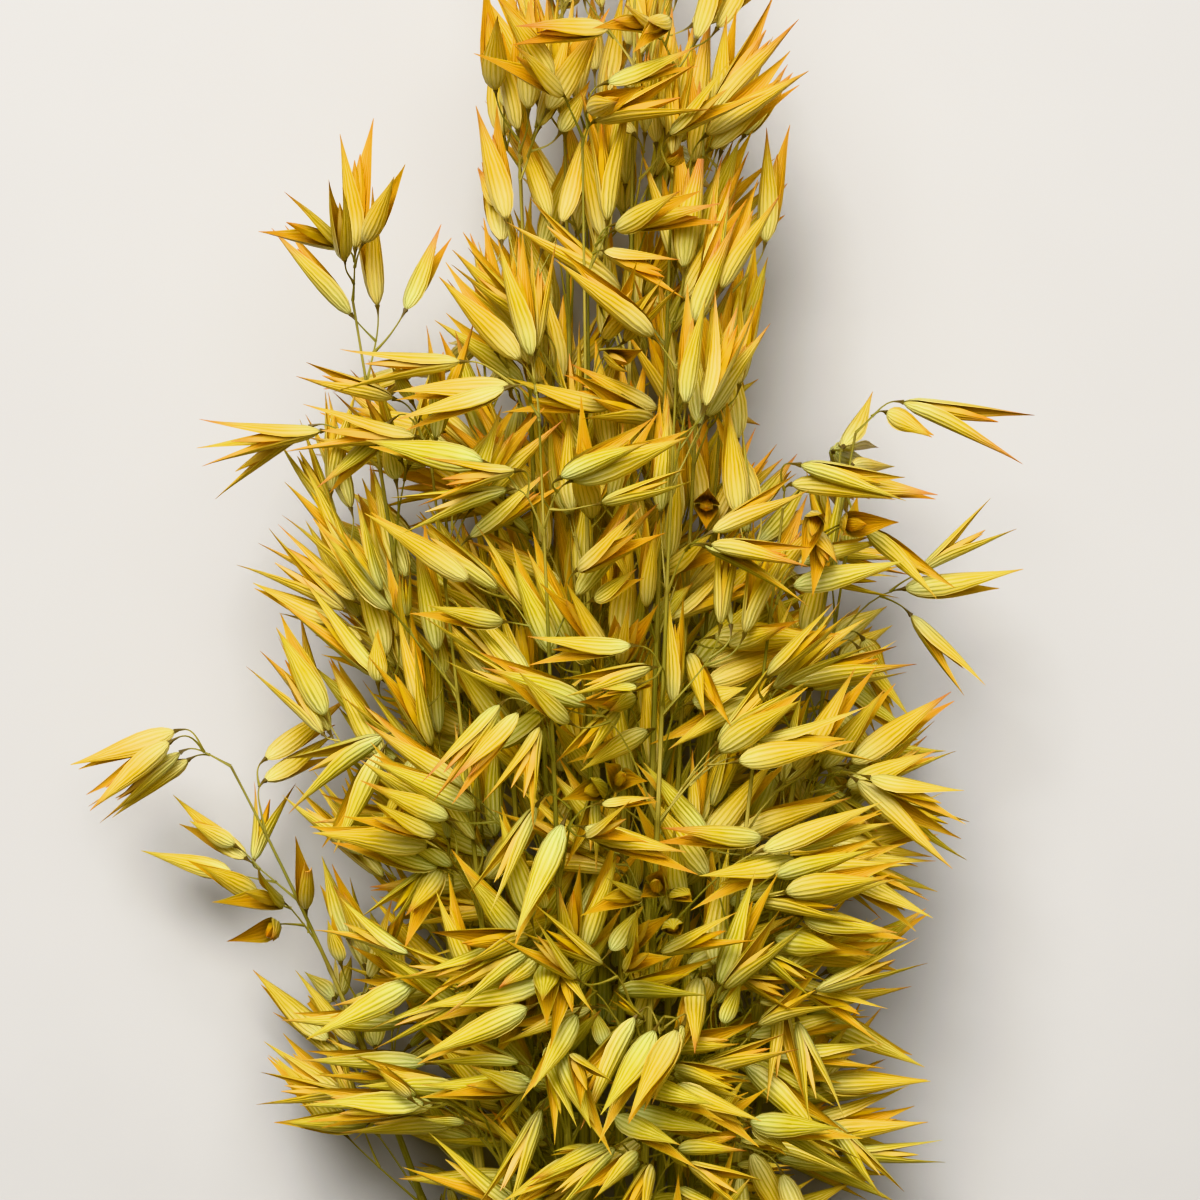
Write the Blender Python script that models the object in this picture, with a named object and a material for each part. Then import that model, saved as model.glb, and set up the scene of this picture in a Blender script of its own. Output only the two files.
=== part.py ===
"""A bunch of dried oats, tied low on its stems and laid on a table, heads towards +Y and table at z = 0.

Each stalk is one body: a straw stem that tapers into the axis of the head, with branches in whorls round
it. Every branch ends in a spikelet, two long pointed husks that part like an open beak. A band holds the
stems where they are packed closest. Sizes are in metres.
"""

import math
import random

import bmesh
import bpy
import numpy as np
from mathutils import Matrix, Vector

SEED = 27

# The bunch along its length, with the band at y = 0
CUT_Y = -0.070
TABLE_SLOPE = 0.098
PRESSED = 0.0008

# Stems
STEM_R = 0.0016
NECK_R = 0.0012
AXIS_TIP_R = 0.0009
STEM_SIDES = 5
STEM_RINGS = 3
STEM_GAP = 0.0003
PITCH = 2 * STEM_R + STEM_GAP
BUTT_SPLAY = 0.45

# Rings of stalks from the middle outwards: how many, ring radius at the band, reach of the tips from the
# middle, lowest and highest tip, how much lower the tips at the sides are, and length of the heads
RINGS = (
    (3, 0.58 * PITCH, 0.012, 0.472, 0.490, 0.000, 0.245),
    (9, 1.56 * PITCH, 0.027, 0.436, 0.470, 0.050, 0.230),
    (12, 2.57 * PITCH, 0.056, 0.372, 0.398, 0.025, 0.200),
)

# The outline of the heads from above: how far along, then how far the husks reach left and right
OUTLINE = (
    (0.100, -0.038, 0.058),
    (0.190, -0.045, 0.081),
    (0.211, -0.050, 0.080),
    (0.218, -0.080, 0.079),
    (0.246, -0.086, 0.075),
    (0.258, -0.065, 0.073),
    (0.290, -0.082, 0.087),
    (0.312, -0.083, 0.080),
    (0.335, -0.079, 0.072),
    (0.353, -0.082, 0.074),
    (0.362, -0.080, 0.072),
    (0.370, -0.077, 0.041),
    (0.386, -0.070, 0.037),
    (0.395, -0.040, 0.036),
    (0.425, -0.030, 0.043),
    (0.470, -0.027, 0.042),
    (0.500, -0.024, 0.034),
    (0.535, -0.012, 0.016),
)
TIP_CLEAR = 0.006
TIP_BELOW = 0.014
UNDERSIDE_REACH = 0.50
TOPSIDE_REACH = 0.85
ARCH = 0.25

# Stalks of the outer ring that stand clear of the others: tip from the middle, tip height, arch, length of
# the head and how far its spikelets nod
STRAYS = {
    0: (0.055, 0.372, 0.45, 0.130, 100),
    5: (-0.056, 0.401, 0.35, 0.150, 28),
    6: (-0.086, 0.297, 1.00, 0.130, 90),
}

# Heads
WHORLS = 7
WHORL_BRANCHES = (2, 2, 2, 1, 1, 1, 1, 1)
WHORL_CROWDING = 0.85
GOLDEN_ANGLE = math.radians(137.5)
LONGEST_BRANCH = 0.040
SHORTEST_BRANCH = 0.014
BRANCH_VARIES = (0.6, 1.15)
LEAST_SWING = 0.5
BRANCH_R = 0.0006
TRIES = 60
FOOT_TRIES = 400
FOOT_PRESSED = 0.8
SPREAD_MOST = 1.2
STRAY_CALM = 0.4
STRAY_FREE = 0.6

# How a branch leaves its stalk and how its spikelet nods, more so the further out or the lower in the head
LEAVES = (math.radians(16), math.radians(40))
NODS, NODS_OUTSIDE, NODS_LOW, NODS_VARY = 12, 42, 48, 33
NOD_LIMITS = (2.0, 150.0)
TURNS_AWAY = 0.7
FACES_OUT = 1.3
FACES_UP = 0.15
CURVE_OUT, CURVE_TURNS, CURVE_BACK = 0.50, 0.78, 0.30

# Branches under the head whose spikelets carry it on the table: which stalk, counted from 0, and which whorl
FEET = ((19, 3), (22, 3), (20, 5), (21, 1))
DOWN = -math.pi / 2

# Spikelets, as shares of their length
SPIKELET = (0.0235, 0.0290)
OPENING = (math.radians(3), math.radians(16))
BELLY_AT, BELLY_DEEP, BELLY_WIDE = 0.30, 0.090, 0.116
HORN_AT, HORN_SLIM = 0.64, 0.62

# Capsules that hold a spikelet, as shares of its length: from, to and radius
BELLY_CAPSULE = (0.12, 0.34, 0.112)
HORN_CAPSULES = (0.36, HORN_AT, 0.98)
KNEE_RADIUS, HORN_RADIUS = 0.082, 0.043
GAP = 0.0004
NEAR = 0.11

# Paths of branches are cut at these shares, for the longer and the shorter ones
LONG_BRANCH = 0.020
LONG_CUTS = (0.0, 0.4, 0.75, 1.0)
SHORT_CUTS = (0.0, 0.55, 1.0)
BRANCH_CAPSULES = 3

# Band
BAND_TURNS = 3
BAND_TURN_WIDE = 0.0022
BAND_THICK = 0.0013
BAND_CROWN = 0.6
BAND_GROOVE = 0.6
BAND_SEGMENTS = 20


def reach_at(y):
    """How far the husks reach left and right at height y, or at each of several heights."""
    ys, lefts, rights = zip(*OUTLINE)
    return np.interp(y, ys, lefts), np.interp(y, ys, rights)


def tip_height(x, wanted):
    """The height wanted for a tip, or less, so that it stays under the outline of the heads."""
    left, right = reach_at(wanted)
    while not left + TIP_CLEAR < x < right - TIP_CLEAR:
        wanted -= 0.001
        left, right = reach_at(wanted + TIP_BELOW)
    return wanted


def axis_height(y):
    """Height of the middle of the bunch: its splayed cut ends lie on the table, and the head props it up."""
    outer = RINGS[-1][1] * (1 + BUTT_SPLAY) * math.cos(math.pi / RINGS[-1][0])
    return outer + STEM_R - PRESSED + TABLE_SLOPE * (y - CUT_Y)


def stalk_plans(rng):
    """Where each stalk passes the band, where its tip is and where its head starts."""
    plans = []
    for ring, (count, radius, reach, low, high, drop, head) in enumerate(RINGS):
        for k in range(count):
            angle = (k + 0.5) * math.tau / count
            across = Vector((math.cos(angle), math.sin(angle)))
            far = reach * rng.uniform(0.85, 1.15)
            tip_y = rng.uniform(low, high) - drop * across.x**2
            tip = Vector((across.x, across.y * (TOPSIDE_REACH if across.y > 0 else UNDERSIDE_REACH))) * far
            stray = ring == len(RINGS) - 1 and k in STRAYS
            if stray:
                tip.x, tip_y, arch, long, nods = STRAYS[k]
            else:
                tip_y, arch, long, nods = tip_height(tip.x, tip_y), ARCH, head, None
            plans.append(
                {
                    "band": across * radius,
                    "tip": tip,
                    "tip_y": tip_y,
                    "neck_y": tip_y - long * rng.uniform(0.92, 1.08),
                    "arch": arch,
                    "nods": nods,
                    "stray": stray,
                    "turn": rng.uniform(0, math.tau),
                }
            )
    return plans


def stalk_point(plan, y):
    """A point on the middle line of a stalk: splayed below the band, arching out above it."""
    if y < 0:
        offset = plan["band"] * (1 + BUTT_SPLAY * y / CUT_Y)
    else:
        t = y / plan["tip_y"]
        offset = plan["band"].lerp(plan["tip"], t * (1 + plan["arch"] * (t - 1)))
    return Vector((offset.x, y, axis_height(y) + offset.y))


def stalk_radius(plan, y):
    """A stem keeps its girth to just past the band, then tapers to the neck and on to the tip."""
    if y < plan["neck_y"]:
        return STEM_R + (NECK_R - STEM_R) * max(0.0, y / plan["neck_y"])
    return NECK_R + (AXIS_TIP_R - NECK_R) * (y - plan["neck_y"]) / (plan["tip_y"] - plan["neck_y"])


def stalk_stations(plan):
    """The y of each ring of a stalk: STEM_RINGS down the bare stem and one at each whorl."""
    neck, tip = plan["neck_y"], plan["tip_y"]
    stem = [CUT_Y, 0.0, neck * 0.5]
    return stem + [neck + (tip - neck) * (k / WHORLS) ** WHORL_CROWDING for k in range(WHORLS + 1)]


def bezier(points, t):
    a, b, c, d = points
    s = 1 - t
    return a * s**3 + b * (3 * s * s * t) + c * (3 * s * t * t) + d * t**3


def branch_plan(rng, plan, y, length, turn):
    """One branch and its spikelet, leaving the stalk at height y towards the side that turn gives."""
    root = stalk_point(plan, y)
    along = (stalk_point(plan, y + 0.001) - root).normalized()
    middle = Vector((0, y, axis_height(y)))
    outward = root - middle
    left, right = reach_at(y)
    outward = outward * ((STRAY_CALM if plan["stray"] else 1) * 2 / (right - left))
    spread = min(SPREAD_MOST, outward.length)
    side_x = along.cross(Vector((0, 0, 1))).normalized()
    side_z = side_x.cross(along)
    side = side_x * math.cos(turn) + side_z * math.sin(turn)
    leave = rng.uniform(*LEAVES)
    start = along * math.cos(leave) + side * math.sin(leave)
    low = (plan["tip_y"] - y) / (plan["tip_y"] - plan["neck_y"])
    nod = rng.gauss(plan["nods"] or NODS + NODS_OUTSIDE * spread + NODS_LOW * low, NODS_VARY)
    nod = math.radians(min(NOD_LIMITS[1], max(NOD_LIMITS[0], nod)))
    face = turn + rng.uniform(-TURNS_AWAY, TURNS_AWAY)
    toward = side_x * math.cos(face) + side_z * math.sin(face) + outward * FACES_OUT
    toward.z *= FACES_UP if toward.z > 0 else 1
    end = (along * math.cos(nod) + toward.normalized() * math.sin(nod)).normalized()
    base = root + start * (length * CURVE_TURNS) + end * (length * (1 - CURVE_TURNS))
    roll = rng.uniform(0, math.pi)
    flat = end.orthogonal().normalized()
    flat = Matrix.Rotation(roll, 3, end) @ flat
    return {
        "path": (root, root + start * (length * CURVE_OUT), base - end * (length * CURVE_BACK), base),
        "end": end,
        "flat": flat,
        "size": rng.uniform(*SPIKELET),
        "open": rng.uniform(*OPENING),
    }


def horn_point(branch, t, sign):
    """The middle of one husk, a share t of the way up the spikelet."""
    size = branch["size"]
    apart = max(0.0, t - BELLY_AT) * math.tan(branch["open"]) + BELLY_DEEP * 0.5 * min(1.0, t / BELLY_AT)
    return branch["path"][3] + branch["end"] * (size * t) + branch["flat"] * (sign * size * apart)


def corners(branch):
    """The four corners of a spikelet's belly, then the three of each husk's knee, then the two tips."""
    size, end, flat = branch["size"], branch["end"], branch["flat"]
    wide = end.cross(flat)
    deep, lean = BELLY_DEEP, math.tan(branch["open"])
    local = [(-deep, 0, BELLY_AT), (deep, 0, BELLY_AT), (0, -BELLY_WIDE, BELLY_AT), (0, BELLY_WIDE, BELLY_AT)]
    for sign in (-1, 1):
        apart = (HORN_AT - BELLY_AT) * lean + deep / 3
        inner, outer = apart - HORN_SLIM * deep / 3, apart + HORN_SLIM * deep * 2 / 3
        local.append((sign * outer, 0, HORN_AT))
        local.append((sign * inner, -HORN_SLIM * BELLY_WIDE, HORN_AT))
        local.append((sign * inner, HORN_SLIM * BELLY_WIDE, HORN_AT))
    for sign in (-1, 1):
        local.append((sign * (deep / 3 + (1 - BELLY_AT) * lean), 0, 1))
    base = branch["path"][3]
    return [base + (flat * x + wide * y + end * z) * size for x, y, z in local]


def inside_outline(points):
    """Whether every point is within the outline of the heads, seen from above."""
    lefts, rights = reach_at([p.y for p in points])
    return all(left < p.x < right for left, p, right in zip(lefts, points, rights))


def stands_clear(branch, plan):
    """Whether a branch is near enough the tip of a stray stalk to be free of the outline."""
    neck, tip = plan["neck_y"], plan["tip_y"]
    return plan["stray"] and branch["path"][0].y > neck + (tip - neck) * STRAY_FREE


def branch_capsules(branch):
    """Capsules, as start, end and radius, that hold a branch and its spikelet. The first is at the root."""
    cuts = [bezier(branch["path"], t) for t in LONG_CUTS]
    made = [(low, high, BRANCH_R) for low, high in zip(cuts, cuts[1:])]
    size, base, end = branch["size"], branch["path"][3], branch["end"]
    low, high, radius = BELLY_CAPSULE
    made.append((base + end * (size * low), base + end * (size * high), size * radius))
    for sign in (-1, 1):
        low, knee, high = (horn_point(branch, t, sign) for t in HORN_CAPSULES)
        made.append((low, knee, size * KNEE_RADIUS))
        made.append((knee, high, size * HORN_RADIUS))
    return made


def segment_gaps(a, b, p, q):
    """Least distance between each segment a-b and each segment p-q."""
    u, v = (b - a)[:, None], (q - p)[None]
    w = a[:, None] - p[None]
    uu, uv, vv = (u * u).sum(-1), (u * v).sum(-1), (v * v).sum(-1)
    uw, vw = (u * w).sum(-1), (v * w).sum(-1)
    s = np.clip((uv * vw - vv * uw) / np.maximum(uu * vv - uv * uv, 1e-15), 0, 1)
    t = np.clip((uv * s + vw) / vv, 0, 1)
    s = np.clip((uv * t - uw) / uu, 0, 1)
    return np.linalg.norm(w + s[..., None] * u - t[..., None] * v, axis=-1)


class Room:
    """What has been placed, as capsules, and whether a new branch would touch any of it."""

    def __init__(self):
        self.start = np.empty((0, 3))
        self.end = np.empty((0, 3))
        self.radius = np.empty(0)
        self.owner = np.empty(0, int)

    def add(self, capsules, owner):
        self.start = np.vstack([self.start, [tuple(c[0]) for c in capsules]])
        self.end = np.vstack([self.end, [tuple(c[1]) for c in capsules]])
        self.radius = np.append(self.radius, [c[2] for c in capsules])
        self.owner = np.append(self.owner, [owner] * len(capsules))

    def least_gap(self, capsules, owner, spare_own):
        """The tightest gap. The first capsules, spare_own of them, may touch their own stalk."""
        start = np.array([tuple(c[0]) for c in capsules])
        end = np.array([tuple(c[1]) for c in capsules])
        radius = np.array([c[2] for c in capsules])
        middle = (start + end).mean(0) / 2
        near = np.linalg.norm((self.start + self.end) / 2 - middle, axis=1) < NEAR
        if not near.any():
            return GAP
        gaps = segment_gaps(start, end, self.start[near], self.end[near])
        gaps = gaps - radius[:, None] - self.radius[near][None] - GAP
        own = self.owner[near] == owner
        gaps[:spare_own, own] = GAP
        return gaps.min()


def fits(branch, plan, owner, room, at_tip):
    """Whether a branch stays off the table, but for what can be pressed flat, and clear of all else.

    Its first capsule may touch its own stalk, and at the very tip of the stalk the whole branch may.
    """
    points = corners(branch)
    if min(p.z for p in points) < -PRESSED or min(p.z for p in branch["path"]) < BRANCH_R:
        return False
    if not stands_clear(branch, plan) and not inside_outline(points):
        return False
    return room.least_gap(branch_capsules(branch), owner, BRANCH_CAPSULES + 1 if at_tip else 1) > 0


def foot_plan(rng, plan, y):
    """A branch that hangs under the head, its spikelet lying flat with the belly pressed on the table."""
    length = rng.uniform(SHORTEST_BRANCH, LONGEST_BRANCH)
    branch = branch_plan(rng, plan, y, length, DOWN + rng.uniform(-1, 1))
    root, start, _, base = branch["path"]
    end = Vector((branch["end"].x, branch["end"].y, 0)).normalized()
    base = Vector((base.x, base.y, branch["size"] * BELLY_WIDE - PRESSED * FOOT_PRESSED))
    back = (base - root).length * CURVE_BACK
    branch["path"] = (root, start, base - end * back, base)
    branch["end"], branch["flat"] = end, end.cross(Vector((0, 0, 1)))
    return branch


def place_foot(rng, plan, owner, whorl, room):
    y = stalk_stations(plan)[STEM_RINGS + whorl]
    for _ in range(FOOT_TRIES):
        branch = foot_plan(rng, plan, y)
        if fits(branch, plan, owner, room, False):
            room.add(branch_capsules(branch), owner)
            plan["branches"].append(branch)
            return
    raise ValueError(f"no room for the foot of stalk {owner}")


def place_branch(rng, plan, owner, whorl, k, room):
    """A branch of a whorl, turned further from its place in the spiral the more tries it takes to fit."""
    y = stalk_stations(plan)[STEM_RINGS + whorl]
    length = LONGEST_BRANCH + (SHORTEST_BRANCH - LONGEST_BRANCH) * whorl / WHORLS
    for attempt in range(TRIES):
        swing = LEAST_SWING + math.pi * attempt / TRIES
        turn = plan["turn"] + whorl * GOLDEN_ANGLE + k * math.pi + rng.uniform(-swing, swing)
        branch = branch_plan(rng, plan, y, length * rng.uniform(*BRANCH_VARIES), turn)
        if fits(branch, plan, owner, room, whorl == WHORLS):
            room.add(branch_capsules(branch), owner)
            plan["branches"].append(branch)
            return


def lay_out(rng):
    """Every stalk with its branches, placed so that nothing crosses anything else."""
    plans, room = stalk_plans(rng), Room()
    for owner, plan in enumerate(plans):
        plan["branches"] = []
        ys = stalk_stations(plan)
        points = [stalk_point(plan, y) for y in ys]
        room.add([(low, high, stalk_radius(plan, y)) for low, high, y in zip(points, points[1:], ys)], owner)
    for owner, whorl in FEET:
        place_foot(rng, plans[owner], owner, whorl, room)
    for whorl in range(WHORLS, -1, -1):
        for owner, plan in enumerate(plans):
            for k in range(WHORL_BRANCHES[whorl]):
                place_branch(rng, plan, owner, whorl, k, room)
    return plans


def frames(points, side):
    """A frame at each point of a path, its Z along the path and its X kept from twisting."""
    made = []
    for k, point in enumerate(points):
        along = (points[min(k + 1, len(points) - 1)] - points[max(k - 1, 0)]).normalized()
        side = (side - along * side.dot(along)).normalized()
        turn = Matrix((side, along.cross(side), along)).transposed().to_4x4()
        made.append(Matrix.Translation(point) @ turn)
    return made


def grow(bm, face, move):
    """Extrudes a face and carries the new one by a matrix. A lone face stays as the closed end."""
    lone = all(len(edge.link_faces) == 1 for edge in face.edges)
    made = bmesh.ops.extrude_face_region(bm, geom=[face])["geom"]
    if not lone:
        bmesh.ops.delete(bm, geom=[face], context="FACES_ONLY")
    face = next(g for g in made if isinstance(g, bmesh.types.BMFace))
    bmesh.ops.transform(bm, matrix=move, verts=face.verts)
    return face


def object_of(bm, name, collection):
    bmesh.ops.recalc_face_normals(bm, faces=bm.faces)
    mesh = bpy.data.meshes.new(name)
    bm.to_mesh(mesh)
    bm.free()
    made = bpy.data.objects.new(name, mesh)
    collection.objects.link(made)
    return made


def stem(plan, name, collection):
    """The stem and head axis: a ring at the cut end, extruded from station to station."""
    ys = stalk_stations(plan)
    turned = frames([stalk_point(plan, y) for y in ys], Vector((0, 0, -1)))
    placed = [frame @ Matrix.Scale(stalk_radius(plan, y), 4) for frame, y in zip(turned, ys)]
    bm = bmesh.new()
    ring = bmesh.ops.create_circle(bm, cap_ends=True, segments=STEM_SIDES, radius=1, matrix=placed[0])
    face = ring["verts"][0].link_faces[0]
    for low, high in zip(placed, placed[1:]):
        face = grow(bm, face, high @ low.inverted())
    return object_of(bm, name, collection)


def husk(bm, face, branch, sign):
    """Draws half of the spikelet's end face out into one tapering husk with a pointed tip."""
    size = branch["size"]
    waist = size * (HORN_AT - BELLY_AT)
    lean = math.tan(branch["open"])
    middle = face.calc_center_median()
    slim = Matrix.Diagonal((HORN_SLIM, HORN_SLIM, 1, 1))
    up = Matrix.Translation(middle + Vector((sign * waist * lean, 0, waist)))
    face = grow(bm, face, up @ slim @ Matrix.Translation(-middle))
    point = bmesh.ops.poke(bm, faces=[face])["verts"][0]
    rest = size * (1 - HORN_AT)
    point.co += Vector((sign * rest * lean, 0, rest))


def branch_body(branch, collection):
    """A branch and its spikelet in one: the spikelet is grown upwards, then its foot down to the root."""
    size = branch["size"]
    bm = bmesh.new()
    ring = bmesh.ops.create_circle(bm, cap_ends=True, segments=4, radius=BRANCH_R)
    foot = ring["verts"][0].link_faces[0]
    swell = Matrix.Diagonal((size * BELLY_DEEP / BRANCH_R, size * BELLY_WIDE / BRANCH_R, 1, 1))
    belly = grow(bm, foot, Matrix.Translation((0, 0, size * BELLY_AT)) @ swell)
    back, front = sorted(belly.verts, key=lambda v: abs(v.co.x))[:2]
    halves = [belly, bmesh.utils.face_split(belly, back, front)[0]]
    for face in halves:
        husk(bm, face, branch, math.copysign(1, face.calc_center_median().x))
    end, flat = branch["end"], branch["flat"]
    turn = Matrix((flat, end.cross(flat), end)).transposed().to_4x4()
    bmesh.ops.transform(bm, matrix=Matrix.Translation(branch["path"][3]) @ turn, verts=bm.verts)
    span = (branch["path"][3] - branch["path"][0]).length
    cuts = LONG_CUTS if span > LONG_BRANCH else SHORT_CUTS
    placed = frames([bezier(branch["path"], t) for t in reversed(cuts)], flat)
    for near, far in zip(placed, placed[1:]):
        foot = grow(bm, foot, far @ near.inverted())
    return object_of(bm, "branch", collection)


def applied(target):
    """Makes what an object's modifiers show its own mesh."""
    shown = target.evaluated_get(bpy.context.evaluated_depsgraph_get())
    target.data = bpy.data.meshes.new_from_object(shown)
    target.modifiers.clear()


def stalk(plan, name, material):
    """A stem joined with its branches into one body."""
    made = stem(plan, name, bpy.context.scene.collection)
    pieces = bpy.data.collections.new(name + "_branches")
    bpy.context.scene.collection.children.link(pieces)
    for branch in plan["branches"]:
        branch_body(branch, pieces)
    join = made.modifiers.new("join", "BOOLEAN")
    join.operation = "UNION"
    join.operand_type = "COLLECTION"
    join.collection = pieces
    join.solver = "MANIFOLD"
    applied(made)
    for piece in list(pieces.objects):
        bpy.data.objects.remove(piece)
    bpy.data.collections.remove(pieces)
    made.data.materials.clear()
    made.data.materials.append(material)
    return made


def press_on_table(made):
    """Flattens what would reach below the table, so that the bunch rests on small flat spots."""
    lowest = min(v.co.z for v in made.data.vertices)
    if lowest >= 0:
        return
    bm = bmesh.new()
    bmesh.ops.create_cube(bm, size=2, matrix=Matrix.Translation((0, 0, -1)))
    table = object_of(bm, "table", bpy.context.scene.collection)
    cut = made.modifiers.new("press", "BOOLEAN")
    cut.operation = "DIFFERENCE"
    cut.object = table
    cut.solver = "MANIFOLD"
    applied(made)
    bpy.data.objects.remove(table)


def band(material):
    """An elastic band wound three times round the stems: its section is spun round the bunch."""
    inner = RINGS[-1][1] + STEM_R + STEM_GAP
    inner /= math.cos(math.pi / BAND_SEGMENTS)
    half = BAND_TURNS * BAND_TURN_WIDE / 2
    bm = bmesh.new()
    points = [Vector((inner, -half, 0))]
    for turn in range(BAND_TURNS):
        middle = -half + (turn + 0.5) * BAND_TURN_WIDE
        crown = BAND_CROWN * BAND_TURN_WIDE / 2
        points.append(Vector((inner + BAND_THICK, middle - crown, 0)))
        points.append(Vector((inner + BAND_THICK, middle + crown, 0)))
        if turn < BAND_TURNS - 1:
            points.append(Vector((inner + BAND_GROOVE * BAND_THICK, middle + BAND_TURN_WIDE / 2, 0)))
    points.append(Vector((inner, half, 0)))
    section = [bm.verts.new(p) for p in points]
    edges = [bm.edges.new(pair) for pair in zip(section, section[1:] + section[:1])]
    bmesh.ops.spin(
        bm, geom=edges, cent=(0, 0, 0), axis=(0, 1, 0), angle=math.tau, steps=BAND_SEGMENTS, use_merge=True
    )
    bmesh.ops.remove_doubles(bm, verts=bm.verts, dist=1e-6)
    lean = Matrix.Rotation(math.atan(TABLE_SLOPE), 4, "X")
    bmesh.ops.transform(bm, matrix=Matrix.Translation((0, 0, axis_height(0))) @ lean, verts=bm.verts)
    made = object_of(bm, "band", bpy.context.scene.collection)
    made.data.materials.append(material)
    return made


def material(name, colour, roughness):
    made = bpy.data.materials.new(name)
    made.use_nodes = True
    shader = made.node_tree.nodes["Principled BSDF"]
    shader.inputs["Base Color"].default_value = (*colour, 1)
    shader.inputs["Roughness"].default_value = roughness
    shader.inputs["Metallic"].default_value = 0
    return made


def centre_on_origin(made):
    """Moves everything so that the middle of its box stands over the origin."""
    corners = np.array([tuple(o.matrix_world @ v.co) for o in made for v in o.data.vertices])
    low, high = corners.min(0), corners.max(0)
    middle = Vector(((low[0] + high[0]) / 2, (low[1] + high[1]) / 2, low[2]))
    for o in made:
        o.data.transform(Matrix.Translation(-middle))


def main():
    for old in list(bpy.data.objects):
        bpy.data.objects.remove(old)
    oat = material("oat", (0.52, 0.37, 0.055), 0.6)
    rubber = material("band", (0.55, 0.36, 0.17), 0.7)
    made = [band(rubber)]
    for number, plan in enumerate(lay_out(random.Random(SEED)), start=1):
        one = stalk(plan, f"stalk_{number:02d}", oat)
        press_on_table(one)
        made.append(one)
        print(one.name, len(plan["branches"]), "branches", len(one.data.polygons), "faces")
    centre_on_origin(made)


main()
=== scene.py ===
# %% [markdown]
# # A bunch of dried oats
# Cut oats, tied low on their stems and laid on a table with the heads away from us. The solid model gives
# every stem, and a few stout spikelets on each head. This lesson dresses it: slim straw stems with knots,
# wiry branches, and hundreds of papery spikelets, each with two veined husks and a grain between them.
# The solid model comes first, because every piece made here takes its place from it.

import math
import random

import bmesh
import bpy
import numpy as np
from mathutils import Matrix, Vector


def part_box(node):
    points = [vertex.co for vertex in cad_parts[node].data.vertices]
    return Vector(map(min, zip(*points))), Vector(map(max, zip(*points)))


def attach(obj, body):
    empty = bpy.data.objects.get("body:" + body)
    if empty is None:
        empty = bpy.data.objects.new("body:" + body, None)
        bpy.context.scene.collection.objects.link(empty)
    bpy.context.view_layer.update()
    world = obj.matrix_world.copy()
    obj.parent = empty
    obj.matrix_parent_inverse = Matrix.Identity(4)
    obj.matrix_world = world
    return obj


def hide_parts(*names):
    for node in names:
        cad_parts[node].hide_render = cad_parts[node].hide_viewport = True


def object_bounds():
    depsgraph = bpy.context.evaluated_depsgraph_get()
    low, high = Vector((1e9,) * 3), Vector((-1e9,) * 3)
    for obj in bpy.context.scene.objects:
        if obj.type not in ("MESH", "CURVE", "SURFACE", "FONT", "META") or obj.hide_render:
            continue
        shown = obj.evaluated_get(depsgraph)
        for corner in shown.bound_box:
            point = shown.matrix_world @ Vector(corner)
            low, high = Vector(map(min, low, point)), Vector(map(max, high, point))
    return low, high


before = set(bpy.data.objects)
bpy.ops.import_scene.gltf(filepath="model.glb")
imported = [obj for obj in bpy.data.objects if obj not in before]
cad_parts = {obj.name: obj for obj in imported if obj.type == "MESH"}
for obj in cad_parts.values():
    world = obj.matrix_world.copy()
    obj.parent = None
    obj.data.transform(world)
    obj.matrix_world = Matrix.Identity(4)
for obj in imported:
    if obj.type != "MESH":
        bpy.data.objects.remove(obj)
cad_low, cad_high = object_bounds()


def mm(length):
    """A length in metres as millimetres, for printing."""
    return round(length * 1000, 2)


print("solid model", [mm(side) for side in cad_high - cad_low], "mm")

# %% [markdown]
# ## Where the stems run
# In a tied bunch the stems touch where the band holds them, splay below it and fan out above it. A rule
# gives that: three rings of stems at the band, and for each stem a tip further out. The solids were laid
# out by this same rule and the same seed, so repeating it puts every fine stem inside its solid one.

# %% Rings of stems at the band
SEED = 27
STEM_R = 0.0016
STEM_GAP = 0.0003
PITCH = 2 * STEM_R + STEM_GAP

# Rings of stalks from the middle outwards: how many, ring radius at the band, reach of the tips from the
# middle, lowest and highest tip, how much lower the tips at the sides are, and length of the heads
RINGS = (
    (3, 0.58 * PITCH, 0.012, 0.472, 0.490, 0.000, 0.245),
    (9, 1.56 * PITCH, 0.027, 0.436, 0.470, 0.050, 0.230),
    (12, 2.57 * PITCH, 0.056, 0.372, 0.398, 0.025, 0.200),
)
BAND_REACH = RINGS[-1][1]
print("rings of", [ring[0] for ring in RINGS], "stalks, the widest", mm(2 * BAND_REACH), "mm at the band")

# %% [markdown]
# ## The outline of the heads
# Seen from the photo's side, the heads fill an uneven shape: a tall narrow top over shoulders on both sides.
# It could be left to chance, but then it wouldn't be this bunch. So the outline is a list of reaches taken
# where it turns, and every tip and husk has to stay within it.

# %% Outline of the heads
# How far along the bunch, then how far the husks reach left and right of its middle line
OUTLINE = (
    (0.100, -0.038, 0.058),
    (0.190, -0.045, 0.081),
    (0.211, -0.050, 0.080),
    (0.218, -0.080, 0.079),
    (0.246, -0.086, 0.075),
    (0.258, -0.065, 0.073),
    (0.290, -0.082, 0.087),
    (0.312, -0.083, 0.080),
    (0.335, -0.079, 0.072),
    (0.353, -0.082, 0.074),
    (0.362, -0.080, 0.072),
    (0.370, -0.077, 0.041),
    (0.386, -0.070, 0.037),
    (0.395, -0.040, 0.036),
    (0.425, -0.030, 0.043),
    (0.470, -0.027, 0.042),
    (0.500, -0.024, 0.034),
    (0.535, -0.012, 0.016),
)
TIP_CLEAR = 0.006
TIP_BELOW = 0.014
TIP_STEP = 0.001


def reach_at(y):
    """How far the husks reach left and right at height y, or at each of several heights."""
    ys, lefts, rights = zip(*OUTLINE)
    return np.interp(y, ys, lefts), np.interp(y, ys, rights)


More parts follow.
